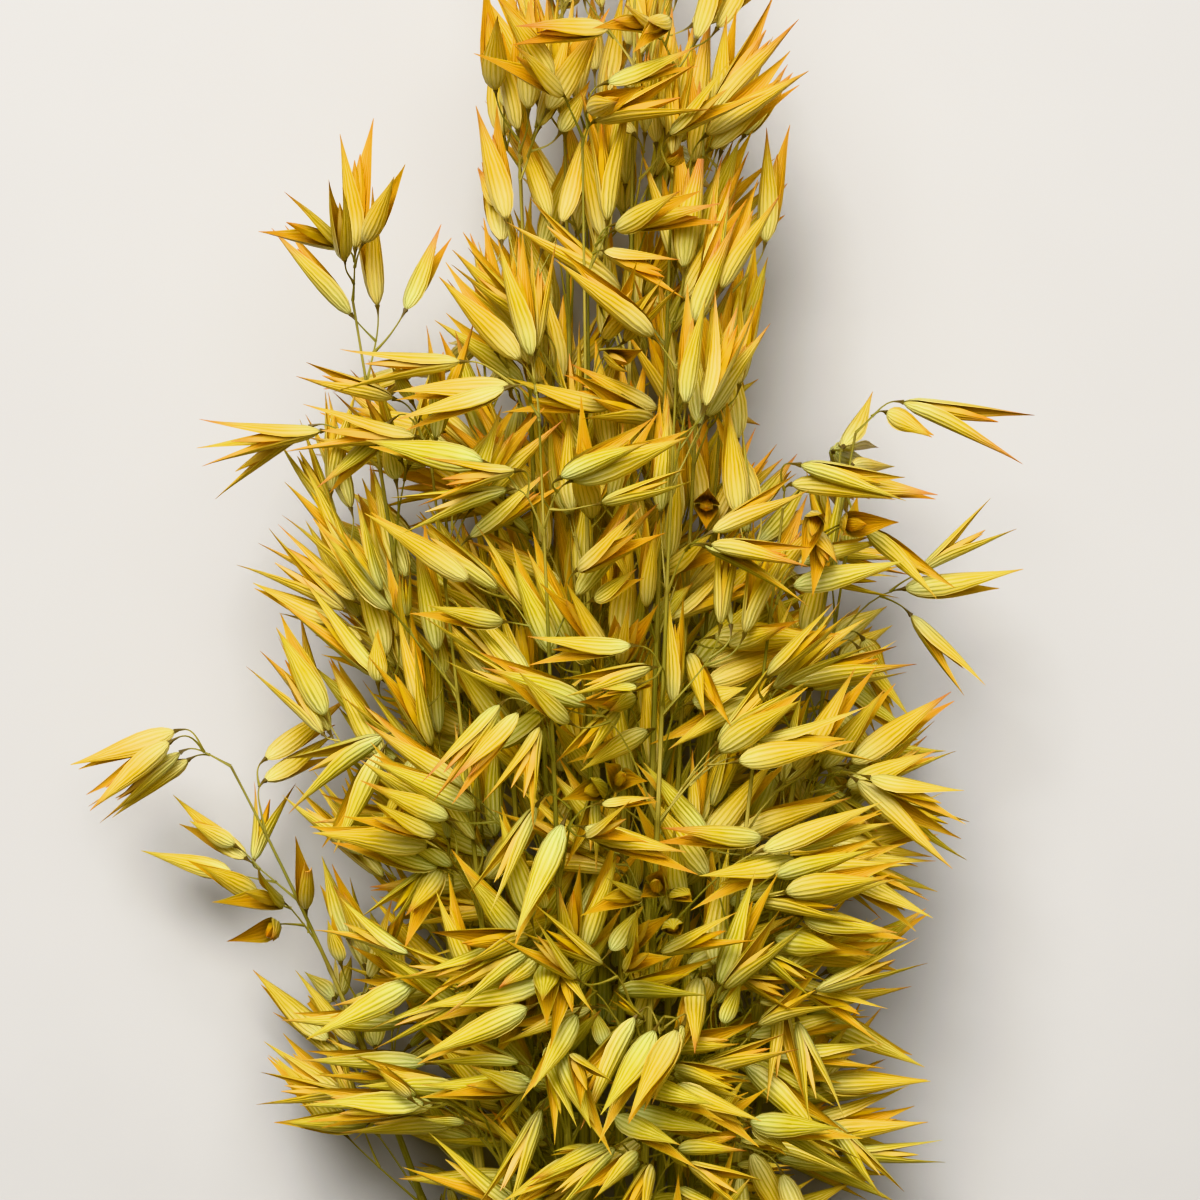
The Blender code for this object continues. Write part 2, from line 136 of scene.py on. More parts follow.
def tip_height(x, wanted):
    """The height wanted for a tip, or less, so that it stays under the outline of the heads."""
    left, right = reach_at(wanted)
    while not left + TIP_CLEAR < x < right - TIP_CLEAR:
        wanted -= TIP_STEP
        left, right = reach_at(wanted + TIP_BELOW)
    return wanted


print("heads", mm(max(right - left for _, left, right in OUTLINE)), "mm wide at most")

# %% [markdown]
# ## How the bunch lies
# On a table the bunch rests on its splayed cut ends and on the underside of its heads. The stems there give
# way a little where they touch. So the middle line is a straight slope, a little higher towards the heads.

# %% Slope of the middle line
CUT_Y = -0.070
BUTT_SPLAY = 0.45
TABLE_SLOPE = 0.098
PRESSED = 0.0008


def axis_height(y):
    """Height of the middle of the bunch: its splayed cut ends lie on the table, and the head props it up."""
    outer = BAND_REACH * (1 + BUTT_SPLAY) * math.cos(math.pi / RINGS[-1][0])
    return outer + STEM_R - PRESSED + TABLE_SLOPE * (y - CUT_Y)


print("middle line", mm(axis_height(CUT_Y)), "mm up at the cut ends and", mm(axis_height(0)), "at the band")

# %% [markdown]
# ## A plan for every stalk
# Each stalk passes the band in its own place, leans out to its own tip and starts its head somewhere below.
# Three at the rim stand clear of the others, at the top left, right and low left, and their tips are listed.
# The others draw theirs, so that no two are alike. The draws are seeded, and so are the same on every run.

# %% Plans of the stalks
REACH_VARIES = (0.85, 1.15)
HEAD_VARIES = (0.92, 1.08)
UNDERSIDE_REACH = 0.50
TOPSIDE_REACH = 0.85
ARCH = 0.25

# Stalks of the outer ring that stand clear of the others: tip from the middle, tip height, arch, length of
# the head and how far its spikelets nod
STRAYS = {
    0: (0.055, 0.372, 0.45, 0.130, 100),
    5: (-0.056, 0.401, 0.35, 0.150, 28),
    6: (-0.086, 0.297, 1.00, 0.130, 90),
}


def stalk_plans(rng):
    """Where each stalk passes the band, where its tip is and where its head starts."""
    plans = []
    for ring, (count, radius, reach, low, high, drop, head) in enumerate(RINGS):
        for k in range(count):
            angle = (k + 0.5) * math.tau / count
            across = Vector((math.cos(angle), math.sin(angle)))
            far = reach * rng.uniform(*REACH_VARIES)
            tip_y = rng.uniform(low, high) - drop * across.x**2
            tip = Vector((across.x, across.y * (TOPSIDE_REACH if across.y > 0 else UNDERSIDE_REACH))) * far
            stray = ring == len(RINGS) - 1 and k in STRAYS
            if stray:
                tip.x, tip_y, arch, long, nods = STRAYS[k]
            else:
                tip_y, arch, long, nods = tip_height(tip.x, tip_y), ARCH, head, None
            neck_y = tip_y - long * rng.uniform(*HEAD_VARIES)
            turn = rng.uniform(0, math.tau)
            plan = {"band": across * radius, "tip": tip, "tip_y": tip_y, "neck_y": neck_y}
            plan.update(arch=arch, nods=nods, turn=turn, stray=stray, branches=[])
            plans.append(plan)
    return plans


# %% [markdown]
# ## Line and girth of a stalk
# Cut straw is stiff and nearly straight, and bends outwards under the weight of its head. A spline would need
# points for each stalk. Two formulas of the height do for all of them: one for the middle line, and one for
# the radius, which is even up to the head and then tapers.

# %% Line and girth of a stalk
NECK_R = 0.0012
AXIS_TIP_R = 0.0009


def stalk_point(plan, y):
    """A point on the middle line of a stalk: splayed below the band, arching out above it."""
    if y < 0:
        offset = plan["band"] * (1 + BUTT_SPLAY * y / CUT_Y)
    else:
        t = y / plan["tip_y"]
        offset = plan["band"].lerp(plan["tip"], t * (1 + plan["arch"] * (t - 1)))
    return Vector((offset.x, y, axis_height(y) + offset.y))


def stalk_radius(plan, y):
    """The solid stalk's radius: it keeps its girth to just past the band, then tapers to the tip."""
    if y < plan["neck_y"]:
        return STEM_R + (NECK_R - STEM_R) * max(0.0, y / plan["neck_y"])
    return NECK_R + (AXIS_TIP_R - NECK_R) * (y - plan["neck_y"]) / (plan["tip_y"] - plan["neck_y"])


# %% [markdown]
# ## Whorls
# An oat head is a panicle: its branches leave the axis in whorls, which come closer together towards the tip
# and carry fewer and shorter branches there. The whorls' heights are worked out from the neck and the tip.

# %% Heights of the whorls
WHORLS = 7
WHORL_BRANCHES = (2, 2, 2, 1, 1, 1, 1, 1)
WHORL_CROWDING = 0.85
LONGEST_BRANCH = 0.040
SHORTEST_BRANCH = 0.014

# Stations on a stalk below its first whorl: the cut end, the band, and halfway to the neck
STEM_RINGS = 3


def stalk_stations(plan):
    """Heights of the stem's few stations, then of the whorls from the neck to the tip."""
    neck, tip = plan["neck_y"], plan["tip_y"]
    stem = [CUT_Y, 0.0, neck * 0.5]
    return stem + [neck + (tip - neck) * (k / WHORLS) ** WHORL_CROWDING for k in range(WHORLS + 1)]


def branch_length(whorl):
    """The usual length of a branch of a whorl, before each one varies it."""
    return LONGEST_BRANCH + (SHORTEST_BRANCH - LONGEST_BRANCH) * whorl / WHORLS


print("branches from", mm(branch_length(0)), "down to", mm(branch_length(WHORLS)), "mm")

# %% [markdown]
# ## One branch
# A branch is a thin wire that leaves its stalk at an angle, curves, and nods under its spikelet. A Bezier
# curve holds that in four points: where it starts, which way, where it ends, and which way. High in the head
# the spikelets point up, and lower down and further out they hang outwards, as in the photo.

# %% The curve of a branch
# How far along its length a branch turns, and how far its start and its end pull the curve
CURVE_TURNS, CURVE_OUT, CURVE_BACK = 0.78, 0.50, 0.30
SPIKELET = (0.0235, 0.0290)
OPENING = (math.radians(3), math.radians(16))
AHEAD = 0.001

# How a branch leaves its stalk and how its spikelet nods, more so the further out or the lower in the head
LEAVES = (math.radians(16), math.radians(40))
NODS, NODS_OUTSIDE, NODS_LOW, NODS_VARY = 12, 42, 48, 33
NOD_LIMITS = (2.0, 150.0)
TURNS_AWAY = 0.7
FACES_OUT = 1.3
FACES_UP = 0.15
SPREAD_MOST = 1.2
STRAY_CALM = 0.4


def bezier(points, t):
    a, b, c, d = points
    s = 1 - t
    return a * s**3 + b * (3 * s * s * t) + c * (3 * s * t * t) + d * t**3


def curve_points(root, start, end, length, turns):
    """The four points of a curve that leaves its root along start and comes to its end along end."""
    base = root + start * (length * turns) + end * (length * (1 - turns))
    return root, root + start * (length * CURVE_OUT), base - end * (length * CURVE_BACK), base


def square_to(rng, axis, most=math.tau):
    """A direction square to an axis, turned round it at random."""
    return Matrix.Rotation(rng.uniform(0, most), 3, axis) @ axis.orthogonal().normalized()


def branch_plan(rng, plan, y, length, turn):
    """One branch and its spikelet, leaving the stalk at height y towards the side that turn gives."""
    root = stalk_point(plan, y)
    along = (stalk_point(plan, y + AHEAD) - root).normalized()
    left, right = reach_at(y)
    half_width = (right - left) / 2
    outward = (root - Vector((0, y, axis_height(y)))) * ((STRAY_CALM if plan["stray"] else 1) / half_width)
    spread = min(SPREAD_MOST, outward.length)
    side_x = along.cross(Vector((0, 0, 1))).normalized()
    side_z = side_x.cross(along)
    side = side_x * math.cos(turn) + side_z * math.sin(turn)
    leave = rng.uniform(*LEAVES)
    start = along * math.cos(leave) + side * math.sin(leave)
    low = (plan["tip_y"] - y) / (plan["tip_y"] - plan["neck_y"])
    nod = rng.gauss(plan["nods"] or NODS + NODS_OUTSIDE * spread + NODS_LOW * low, NODS_VARY)
    nod = math.radians(min(NOD_LIMITS[1], max(NOD_LIMITS[0], nod)))
    face = turn + rng.uniform(-TURNS_AWAY, TURNS_AWAY)
    toward = side_x * math.cos(face) + side_z * math.sin(face) + outward * FACES_OUT
    toward.z *= FACES_UP if toward.z > 0 else 1
    end = (along * math.cos(nod) + toward.normalized() * math.sin(nod)).normalized()
    return {
        "path": curve_points(root, start, end, length, CURVE_TURNS),
        "end": end,
        "flat": square_to(rng, end, math.pi),
        "size": rng.uniform(*SPIKELET),
        "open": rng.uniform(*OPENING),
    }


# %% [markdown]
# ## The room a spikelet takes
# The solid spikelet is a belly with two horns that part in a V. Its corners say whether it stays inside the
# outline and above the table. Between branches, testing triangle against triangle would be slow. So each
# branch is held by a few capsules, round-ended rods, whose distance is quick to work out.

# %% Corners of a spikelet
# Shares of the spikelet's length: where its belly is widest, and half its depth and half its width there
BELLY_AT, BELLY_DEEP, BELLY_WIDE = 0.30, 0.090, 0.116

# Where a horn has its knee, and how slim it is there next to the belly
HORN_AT, HORN_SLIM = 0.64, 0.62


def corners(branch):
    """The four corners of a spikelet's belly, then the three of each husk's knee, then the two tips.

    A husk's section is a triangle: a third of its depth lies inside its middle line, two thirds outside.
    """
    size, end, flat = branch["size"], branch["end"], branch["flat"]
    wide = end.cross(flat)
    deep, lean = BELLY_DEEP, math.tan(branch["open"])
    local = [(-deep, 0, BELLY_AT), (deep, 0, BELLY_AT), (0, -BELLY_WIDE, BELLY_AT), (0, BELLY_WIDE, BELLY_AT)]
    for sign in (-1, 1):
        apart = (HORN_AT - BELLY_AT) * lean + deep / 3
        inner, outer = apart - HORN_SLIM * deep / 3, apart + HORN_SLIM * deep * 2 / 3
        local.append((sign * outer, 0, HORN_AT))
        local.append((sign * inner, -HORN_SLIM * BELLY_WIDE, HORN_AT))
        local.append((sign * inner, HORN_SLIM * BELLY_WIDE, HORN_AT))
    for sign in (-1, 1):
        local.append((sign * (deep / 3 + (1 - BELLY_AT) * lean), 0, 1))
    base = branch["path"][3]
    return [base + (flat * x + wide * y + end * z) * size for x, y, z in local]


# %% Whether a branch stays in bounds
BRANCH_R = 0.0006
STRAY_FREE = 0.6


def inside_outline(points):
    """Whether every point is within the outline of the heads, seen from above."""
    lefts, rights = reach_at([p.y for p in points])
    return all(left < p.x < right for left, p, right in zip(lefts, points, rights))


def stands_clear(branch, plan):
    """Whether a branch is near enough the tip of a stray stalk to be free of the outline."""
    neck, tip = plan["neck_y"], plan["tip_y"]
    return plan["stray"] and branch["path"][0].y > neck + (tip - neck) * STRAY_FREE


def in_bounds(branch, plan, floor_z):
    """Whether a branch stays above the table and its spikelet above floor_z and inside the outline."""
    points = corners(branch)
    if min(p.z for p in points) < floor_z or min(p.z for p in branch["path"]) < BRANCH_R:
        return False
    return stands_clear(branch, plan) or inside_outline(points)


# %% Capsules round a branch
# Capsules of the belly and the horns, as shares of the spikelet's length: from, to and radius
BELLY_CAPSULE = (0.12, 0.34, 0.112)
HORN_CAPSULES = (0.36, HORN_AT, 0.98)
KNEE_RADIUS, HORN_RADIUS = 0.082, 0.043
WIRE_CUTS = (0.0, 0.4, 0.75, 1.0)
WIRE_CAPSULES = len(WIRE_CUTS) - 1


def horn_point(branch, t, sign):
    """The middle of one husk, a share t of the way up the spikelet."""
    size = branch["size"]
    apart = max(0.0, t - BELLY_AT) * math.tan(branch["open"]) + BELLY_DEEP * 0.5 * min(1.0, t / BELLY_AT)
    return branch["path"][3] + branch["end"] * (size * t) + branch["flat"] * (sign * size * apart)


def branch_capsules(branch):
    """Capsules, as start, end and radius: those of the wire from its root, the belly's, then the horns'."""
    cuts = [bezier(branch["path"], t) for t in WIRE_CUTS]
    made = [(low, high, BRANCH_R) for low, high in zip(cuts, cuts[1:])]
    size, base, end = branch["size"], branch["path"][3], branch["end"]
    low, high, radius = BELLY_CAPSULE
    made.append((base + end * (size * low), base + end * (size * high), size * radius))
    for sign in (-1, 1):
        low, knee, high = (horn_point(branch, t, sign) for t in HORN_CAPSULES)
        made.append((low, knee, size * KNEE_RADIUS))
        made.append((knee, high, size * HORN_RADIUS))
    return made


# %% Gaps between capsules
GAP = 0.0004
NEAR = 0.11
TINY = 1e-15


def segment_gaps(a, b, p, q):
    """Least distance between each segment a-b and each segment p-q."""
    u, v = (b - a)[:, None], (q - p)[None]
    w = a[:, None] - p[None]
    uu, uv, vv = (u * u).sum(-1), (u * v).sum(-1), (v * v).sum(-1)
    uw, vw = (u * w).sum(-1), (v * w).sum(-1)
    s = np.clip((uv * vw - vv * uw) / np.maximum(uu * vv - uv * uv, TINY), 0, 1)
    t = np.clip((uv * s + vw) / vv, 0, 1)
    s = np.clip((uv * t - uw) / uu, 0, 1)
    return np.linalg.norm(w + s[..., None] * u - t[..., None] * v, axis=-1)


def as_arrays(capsules):
    """The starts, the ends and the radii of capsules, each as one array."""
    starts, ends, radii = zip(*capsules)
    return np.array([tuple(p) for p in starts]), np.array([tuple(p) for p in ends]), np.array(radii)


class Room:
    """What has been placed, as capsules, and whether a new branch would touch any of it."""

    def __init__(self):
        self.start = np.empty((0, 3))
        self.end = np.empty((0, 3))
        self.radius = np.empty(0)
        self.owner = np.empty(0, int)

    def add(self, capsules, owner):
        start, end, radius = as_arrays(capsules)
        self.start = np.vstack([self.start, start])
        self.end = np.vstack([self.end, end])
        self.radius = np.append(self.radius, radius)
        self.owner = np.append(self.owner, [owner] * len(capsules))

    def least_gap(self, capsules, owner, spare_own, gap=GAP, close=False):
        """The tightest gap, less the gap wanted. The first spare_own capsules may touch their own stalk.

        Close looks only at what the branch could touch, and otherwise all within NEAR is looked at.
        """
        start, end, radius = as_arrays(capsules)
        middle = (start + end).mean(0) / 2
        away = np.linalg.norm((self.start + self.end) / 2 - middle, axis=1)
        if close:
            span = np.linalg.norm(np.vstack([start, end]) - middle, axis=1).max()
            half = np.linalg.norm(self.end - self.start, axis=1) / 2
            near = away < span + half + self.radius + radius.max()
        else:
            near = away < NEAR
        if not near.any():
            return GAP
        gaps = segment_gaps(start, end, self.start[near], self.end[near])
        gaps = gaps - radius[:, None] - self.radius[near][None] - gap
        own = self.owner[near] == owner
        gaps[:spare_own, own] = GAP
        return gaps.min()


# %% [markdown]
# ## The branches of the solid model
# On the plant no husk passes through another, because they push each other aside. Here a branch is turned and
# drawn again until its capsules clear all that is already there, which is quick and needs no simulation. The
# spikelets under the head that carry it on the table come first, and then the whorls from the tip down.

# %% Place a branch of the solid model
TRIES = 60
LEAST_SWING = 0.5
GOLDEN_ANGLE = math.radians(137.5)
BRANCH_VARIES = (0.6, 1.15)


def keep_if_it_fits(branch, plan, owner, room, at_tip=False):
    """Adds a branch to its stalk if it is in bounds and touches nothing, and says whether it did.

    At the stalk's tip the wire and the belly may touch their own stalk, and elsewhere only the root may.
    """
    if not in_bounds(branch, plan, -PRESSED):
        return False
    held = branch_capsules(branch)
    clear = room.least_gap(held, owner, WIRE_CAPSULES + 1 if at_tip else 1) > 0
    if clear:
        room.add(held, owner)
        plan["branches"].append(branch)
    return clear


def place_branch(rng, plan, owner, whorl, k, room):
    """A branch of a whorl, turned further from its place in the spiral the more tries it takes to fit."""
    y = stalk_stations(plan)[STEM_RINGS + whorl]
    for attempt in range(TRIES):
        swing = LEAST_SWING + math.pi * attempt / TRIES
        turn = plan["turn"] + whorl * GOLDEN_ANGLE + k * math.pi + rng.uniform(-swing, swing)
        branch = branch_plan(rng, plan, y, branch_length(whorl) * rng.uniform(*BRANCH_VARIES), turn)
        if keep_if_it_fits(branch, plan, owner, room, whorl == WHORLS):
            return


# %% Place a spikelet that carries the head
# Which stalk and which of its whorls
FEET = ((19, 3), (22, 3), (20, 5), (21, 1))
FOOT_TRIES = 400
FOOT_PRESSED = 0.8
FOOT_SWING = 1
DOWN = -math.pi / 2


def foot_plan(rng, plan, y):
    """A branch that hangs under the head, its spikelet lying flat with the belly pressed on the table."""
    length = rng.uniform(SHORTEST_BRANCH, LONGEST_BRANCH)
    branch = branch_plan(rng, plan, y, length, DOWN + rng.uniform(-FOOT_SWING, FOOT_SWING))
    root, start, _, base = branch["path"]
    end = Vector((branch["end"].x, branch["end"].y, 0)).normalized()
    base = Vector((base.x, base.y, branch["size"] * BELLY_WIDE - PRESSED * FOOT_PRESSED))
    back = (base - root).length * CURVE_BACK
    branch["path"] = (root, start, base - end * back, base)
    branch["end"], branch["flat"] = end, end.cross(Vector((0, 0, 1)))
    return branch


def place_foot(rng, plan, owner, whorl, room):
    y = stalk_stations(plan)[STEM_RINGS + whorl]
    for _ in range(FOOT_TRIES):
        if keep_if_it_fits(foot_plan(rng, plan, y), plan, owner, room):
            return


# %% Lay the solid model's branches out again
def lay_out(rng):
    """Every stalk with its branches, placed so that nothing crosses anything else."""
    plans, room = stalk_plans(rng), Room()
    for owner, plan in enumerate(plans):
        ys = stalk_stations(plan)
        points = [stalk_point(plan, y) for y in ys]
        room.add([(low, high, stalk_radius(plan, y)) for low, high, y in zip(points, points[1:], ys)], owner)
    for owner, whorl in FEET:
        place_foot(rng, plans[owner], owner, whorl, room)
    for whorl in range(WHORLS, -1, -1):
        for owner, plan in enumerate(plans):
            for k in range(WHORL_BRANCHES[whorl]):
                place_branch(rng, plan, owner, whorl, k, room)
    return plans, room


def branch_count():
    return sum(len(plan["branches"]) for plan in stalks)


stalks, room = lay_out(random.Random(SEED))
print(len(stalks), "stalks with", branch_count(), "branches")

# %% [markdown]
# ## Set the layout against the solids
# The solids were centred on their box when they were packed, so the layout has to be moved by as much. The
# band tells how far. The corner of each stalk's spikelets that reaches furthest along then has to meet the
# end of its solid, which shows that the layout is the same.

# %% Move the layout to the solids
band_low, band_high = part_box("band")
to_frame = (band_low + band_high) / 2 - Vector((0, 0, axis_height(0)))
to_frame.z = 0


def stalk_name(number):
    return f"stalk_{number:02d}"


off = []
for number, plan in enumerate(stalks, start=1):
    reach = max(p.y for branch in plan["branches"] for p in corners(branch)) + to_frame.y
    off.append(abs(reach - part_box(stalk_name(number))[1].y))
print("the layout moves by", [mm(c) for c in to_frame], "mm")
print("its tips then meet the solids' within", mm(max(off)), "mm")

# %% [markdown]
# ## More spikelets
# A real head carries thirty or forty spikelets, several times what the solids hold. Some hang on further
# branches of the same whorls. Most hang on short stalks that fork off the branches, next to their neighbour
# and pointing much the same way, which is why the photo shows them in sheaves. They are tested against
# slimmer capsules, because papery husks may lie close.

# %% Fit a branch in snugly
FORK_SEED = 81
SNUG_TRIES = 18
SNUG = 0.74
SNUG_GAP = -0.0002
TABLE_CLEAR = 0.0002
BOX_SPARE = 0.004

extra = random.Random(FORK_SEED)
box_low = cad_low - to_frame - Vector((BOX_SPARE,) * 3)
box_high = cad_high - to_frame + Vector((BOX_SPARE,) * 3)


def in_box(points):
    """Whether every point is in the solid model's box, or proud of it by no more than BOX_SPARE."""
    return all(box_low[k] <= p[k] <= box_high[k] for p in points for k in range(3))


def add_snugly(owner, draw, *given):
    """Draws a branch again and again until one fits, and adds it to its stalk."""
    plan = stalks[owner]
    for _ in range(SNUG_TRIES):
        branch = draw(*given)
        if not in_bounds(branch, plan, TABLE_CLEAR) or not in_box(corners(branch)):
            continue
        held = [(low, high, radius * SNUG) for low, high, radius in branch_capsules(branch)]
        if room.least_gap(held, owner, 1, SNUG_GAP, close=True) > 0:
            room.add(held, owner)
            plan["branches"].append(branch)
            return


# %% Further branches of the whorls
MORE_BRANCHES = (2, 2, 2, 2, 1, 1, 1, 1)
MORE_VARIES = (0.5, 1.2)
WHORL_SHIFT = 0.002
STRAY_BODY_WHORLS = 3


def further_branch(plan, whorl):
    """A branch that leaves a stalk just above or below a whorl, towards any side."""
    y = stalk_stations(plan)[STEM_RINGS + whorl] + extra.uniform(-WHORL_SHIFT, WHORL_SHIFT)
    length = branch_length(whorl) * extra.uniform(*MORE_VARIES)
    return branch_plan(extra, plan, y, length, extra.uniform(0, math.tau))


for whorl in range(WHORLS, -1, -1):
    for owner, plan in enumerate(stalks):
        bare = plan["stray"] and whorl > STRAY_BODY_WHORLS
        for _ in range(0 if bare else MORE_BRANCHES[whorl]):
            add_snugly(owner, further_branch, plan, whorl)
print(branch_count(), "branches with those added to the whorls")

# %% Forks
FORKS, FORKS_LOW, LOW_BELOW = 2, 3, 0.27
STRAY_FORKS = (2, 3)
FORK_AT = (0.25, 0.85)
FORK_LENGTH = (0.004, 0.015)
FORK_LEAVES = (math.radians(20), math.radians(60))
FORK_TURNS = 0.6
FORK_SWING = 24
FORK_SPIKELET = (0.0210, 0.0282)
FORK_AHEAD = 0.02

# Small spikelets that never filled out
RUNT_SHARE = 0.05
RUNT_SPIKELET = (0.0095, 0.0130)
RUNT_OPENING = math.radians(3)


def fork_plan(host):
    """A short stalk with a spikelet that leaves another branch and follows the lead of its spikelet."""
    t = extra.uniform(*FORK_AT)
    root = bezier(host["path"], t)
    along = (bezier(host["path"], t + FORK_AHEAD) - root).normalized()
    side = square_to(extra, along)
    leave = extra.uniform(*FORK_LEAVES)
    start = along * math.cos(leave) + side * math.sin(leave)
    length = extra.uniform(*FORK_LENGTH)
    swing = math.radians(abs(extra.gauss(0, FORK_SWING)))
    end = (host["end"] * math.cos(swing) + square_to(extra, host["end"]) * math.sin(swing)).normalized()
    flat = square_to(extra, end, math.pi)
    runt = extra.random() < RUNT_SHARE
    return {
        "path": curve_points(root, start, end, length, FORK_TURNS),
        "end": end,
        "flat": flat,
        "size": extra.uniform(*(RUNT_SPIKELET if runt else FORK_SPIKELET)),
        "open": RUNT_OPENING if runt else extra.uniform(*OPENING),
        "runt": runt,
    }


for owner, plan in enumerate(stalks):
    for host in list(plan["branches"]):
        forks = FORKS_LOW if host["path"][0].y < LOW_BELOW else FORKS
        for _ in range(extra.randint(*STRAY_FORKS) if plan["stray"] else forks):
            add_snugly(owner, fork_plan, host)
print(branch_count(), "spikelets with the forks")

# %% [markdown]
# ## A tube as the pattern
# Stem, wire, husk and grain are all drawn-out forms with a round or hollow section. A curve with a bevel
# could make the wires, but not a husk. One kind of tube does for all four: a circle, extruded ring by ring.
# Each copy of it is then laid in place ring by ring. It carries a UV map, so that veins follow the surface.

# %% A tube, ring by ring
def side_angle(x):
    """The angle from the middle of a unit tube's front, for a point that lies x across it."""
    return math.asin(max(-1.0, min(1.0, x)))


def tube_pattern(name, sides, rows, heights=None):
    """A closed tube of unit radius along Z, a ring at each whole number, with a UV map for the grain.

    Given heights, one for each ring, the map runs from side to side over the tube and not round it.
    """
    bm = bmesh.new()
    made = bmesh.ops.create_circle(bm, cap_ends=True, segments=sides, radius=1)
    face = made["verts"][0].link_faces[0]
    for row in range(rows):
        grown = bmesh.ops.extrude_face_region(bm, geom=[face])["geom"]
        if row > 0:
            bmesh.ops.delete(bm, geom=[face], context="FACES_ONLY")
        face = next(g for g in grown if isinstance(g, bmesh.types.BMFace))
        bmesh.ops.translate(bm, vec=(0, 0, 1), verts=face.verts)
    bmesh.ops.recalc_face_normals(bm, faces=bm.faces)
    grain = bm.loops.layers.uv.new("grain")
    for face in bm.faces:
        face.smooth = len(face.verts) == 4
        middle = face.calc_center_median()
        half_turn = math.atan2(middle.y, middle.x)
        for loop in face.loops:
            place = loop.vert.co
            angle = math.atan2(place.y, place.x)
            angle += math.tau * round((half_turn - angle) / math.tau)
            if heights:
                loop[grain].uv = (0.5 + side_angle(place.x) / math.pi, heights[round(place.z)])
            else:
                loop[grain].uv = (angle / math.tau, place.z / rows)
    mesh = bpy.data.meshes.new(name)
    bm.to_mesh(mesh)
    bm.free()
    print(name, "with", sides, "sides and", rows + 1, "rings")
    return mesh


# %% Lay a tube along a path
def frames(points, side):
    """A frame at each point of a path, its Z along the path and its X kept from twisting."""
    made = []
    for k, point in enumerate(points):
        along = (points[min(k + 1, len(points) - 1)] - points[max(k - 1, 0)]).normalized()
        side = (side - along * side.dot(along)).normalized()
        turn = Matrix((side, along.cross(side), along)).transposed().to_4x4()
        made.append(Matrix.Translation(point) @ turn)
    return made


def new_verts(bm, pattern):
    """Adds a copy of a pattern to the mesh and gives its vertices."""
    count = len(bm.verts)
    bm.from_mesh(pattern)
    bm.verts.ensure_lookup_table()
    return bm.verts[count:]


def vertex_layers(bm, *names):
    """The vertex attributes of these names, made where the mesh has none yet."""
    floats = bm.verts.layers.float
    return [floats.get(name) or floats.new(name) for name in names]


def lay_tube(bm, pattern, placed, radii, marks):
    """Lays a copy of the tube along frames. Each ring has a radius and a mark for the attribute 'part'."""
    part = vertex_layers(bm, "part")[0]
    for vert in new_verts(bm, pattern):
        row = round(vert.co.z)
        across = Vector((vert.co.x * radii[row], vert.co.y * radii[row], 0))
        vert.co = placed[row] @ across
        vert[part] = marks[row]


# %% [markdown]
# ## Finished pieces
# A stalk is dressed in two pieces, its straw and its spikelets, because they have different finishes. Both
# ride on the bunch's one body and stand in for the same solid. What would dip below the table is laid on it.

# %% Make a finished piece
SHARP = math.radians(62)


def piece_of(bm, name, material, slot, *nodes):
    """Makes a finished piece of a mesh: in the frame's place, with its material, riding on the bunch."""
    bmesh.ops.translate(bm, vec=to_frame, verts=bm.verts)
    for vert in bm.verts:
        vert.co.z = max(vert.co.z, 0.0)
    mesh = bpy.data.meshes.new(name)
    bm.to_mesh(mesh)
    bm.free()
    mesh.set_sharp_from_angle(angle=SHARP)
    mesh.materials.append(material)
    piece = bpy.data.objects.new(name, mesh)
    bpy.context.scene.collection.objects.link(piece)
    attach(piece, "root")
    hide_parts(*nodes)
    return piece


def triangles(pieces):
    return sum(len(face.vertices) - 2 for piece in pieces for face in piece.data.polygons)


# %% [markdown]
# ## Shader helpers
# Every finish here is made of nodes. A few small helpers keep their cells short: one adds a node and wires
# or sets its inputs, and the others are arithmetic, colours, noise, and the wires into the shader.

# %% Add a node
def is_socket(value):
    return isinstance(value, bpy.types.NodeSocket)


def add(tree, kind, inputs=None, **settings):
    """Adds a node with these settings. An input is wired where it is given a socket, and else set."""
    node = tree.nodes.new(kind)
    for key, value in settings.items():
        setattr(node, key, value)
    for key, value in (inputs or {}).items():
        if is_socket(value):
            tree.links.new(value, node.inputs[key])
        else:
            node.inputs[key].default_value = value
    return node


def new_material(name):
    made = bpy.data.materials.new(name)
    made.use_nodes = True
    return made, made.node_tree, made.node_tree.nodes["Principled BSDF"]


# %% Arithmetic and colours
def maths(tree, operation, *values, clamp=False):
    node = add(tree, "ShaderNodeMath", dict(enumerate(values)), operation=operation, use_clamp=clamp)
    return node.outputs[0]


def rise_between(tree, value, low, high):
    """0 where the value is at low, 1 where it is at high, and in between an even rise."""
    return add(tree, "ShaderNodeMapRange", {"Value": value, "From Min": low, "From Max": high}).outputs[0]


def ramp(tree, factor, *stops):
    node = add(tree, "ShaderNodeValToRGB", {"Fac": factor})
    elements = node.color_ramp.elements
    while len(elements) < len(stops):
        elements.new(0.5)
    for element, (position, colour) in zip(elements, stops):
        element.position = position
        element.color = (*colour, 1)
    return node.outputs["Color"]


def mixed(tree, factor, low, high):
    """The colour low where the factor is 0, high where it is 1. Inputs 6 and 7 are the node's colours."""
    low, high = (colour if is_socket(colour) else (*colour, 1) for colour in (low, high))
    return add(tree, "ShaderNodeMix", {0: factor, 6: low, 7: high}, data_type="RGBA").outputs[2]


# %% Places, noise and the wires into the shader
def attribute(tree, name):
    return add(tree, "ShaderNodeAttribute", attribute_name=name).outputs["Fac"]


def grain_uv(tree):
    """How far across and how far along a piece's own surface a point lies."""
    uv = add(tree, "ShaderNodeUVMap", uv_map="grain").outputs["UV"]
    split = add(tree, "ShaderNodeSeparateXYZ", {0: uv})
    return split.outputs["X"], split.outputs["Y"]


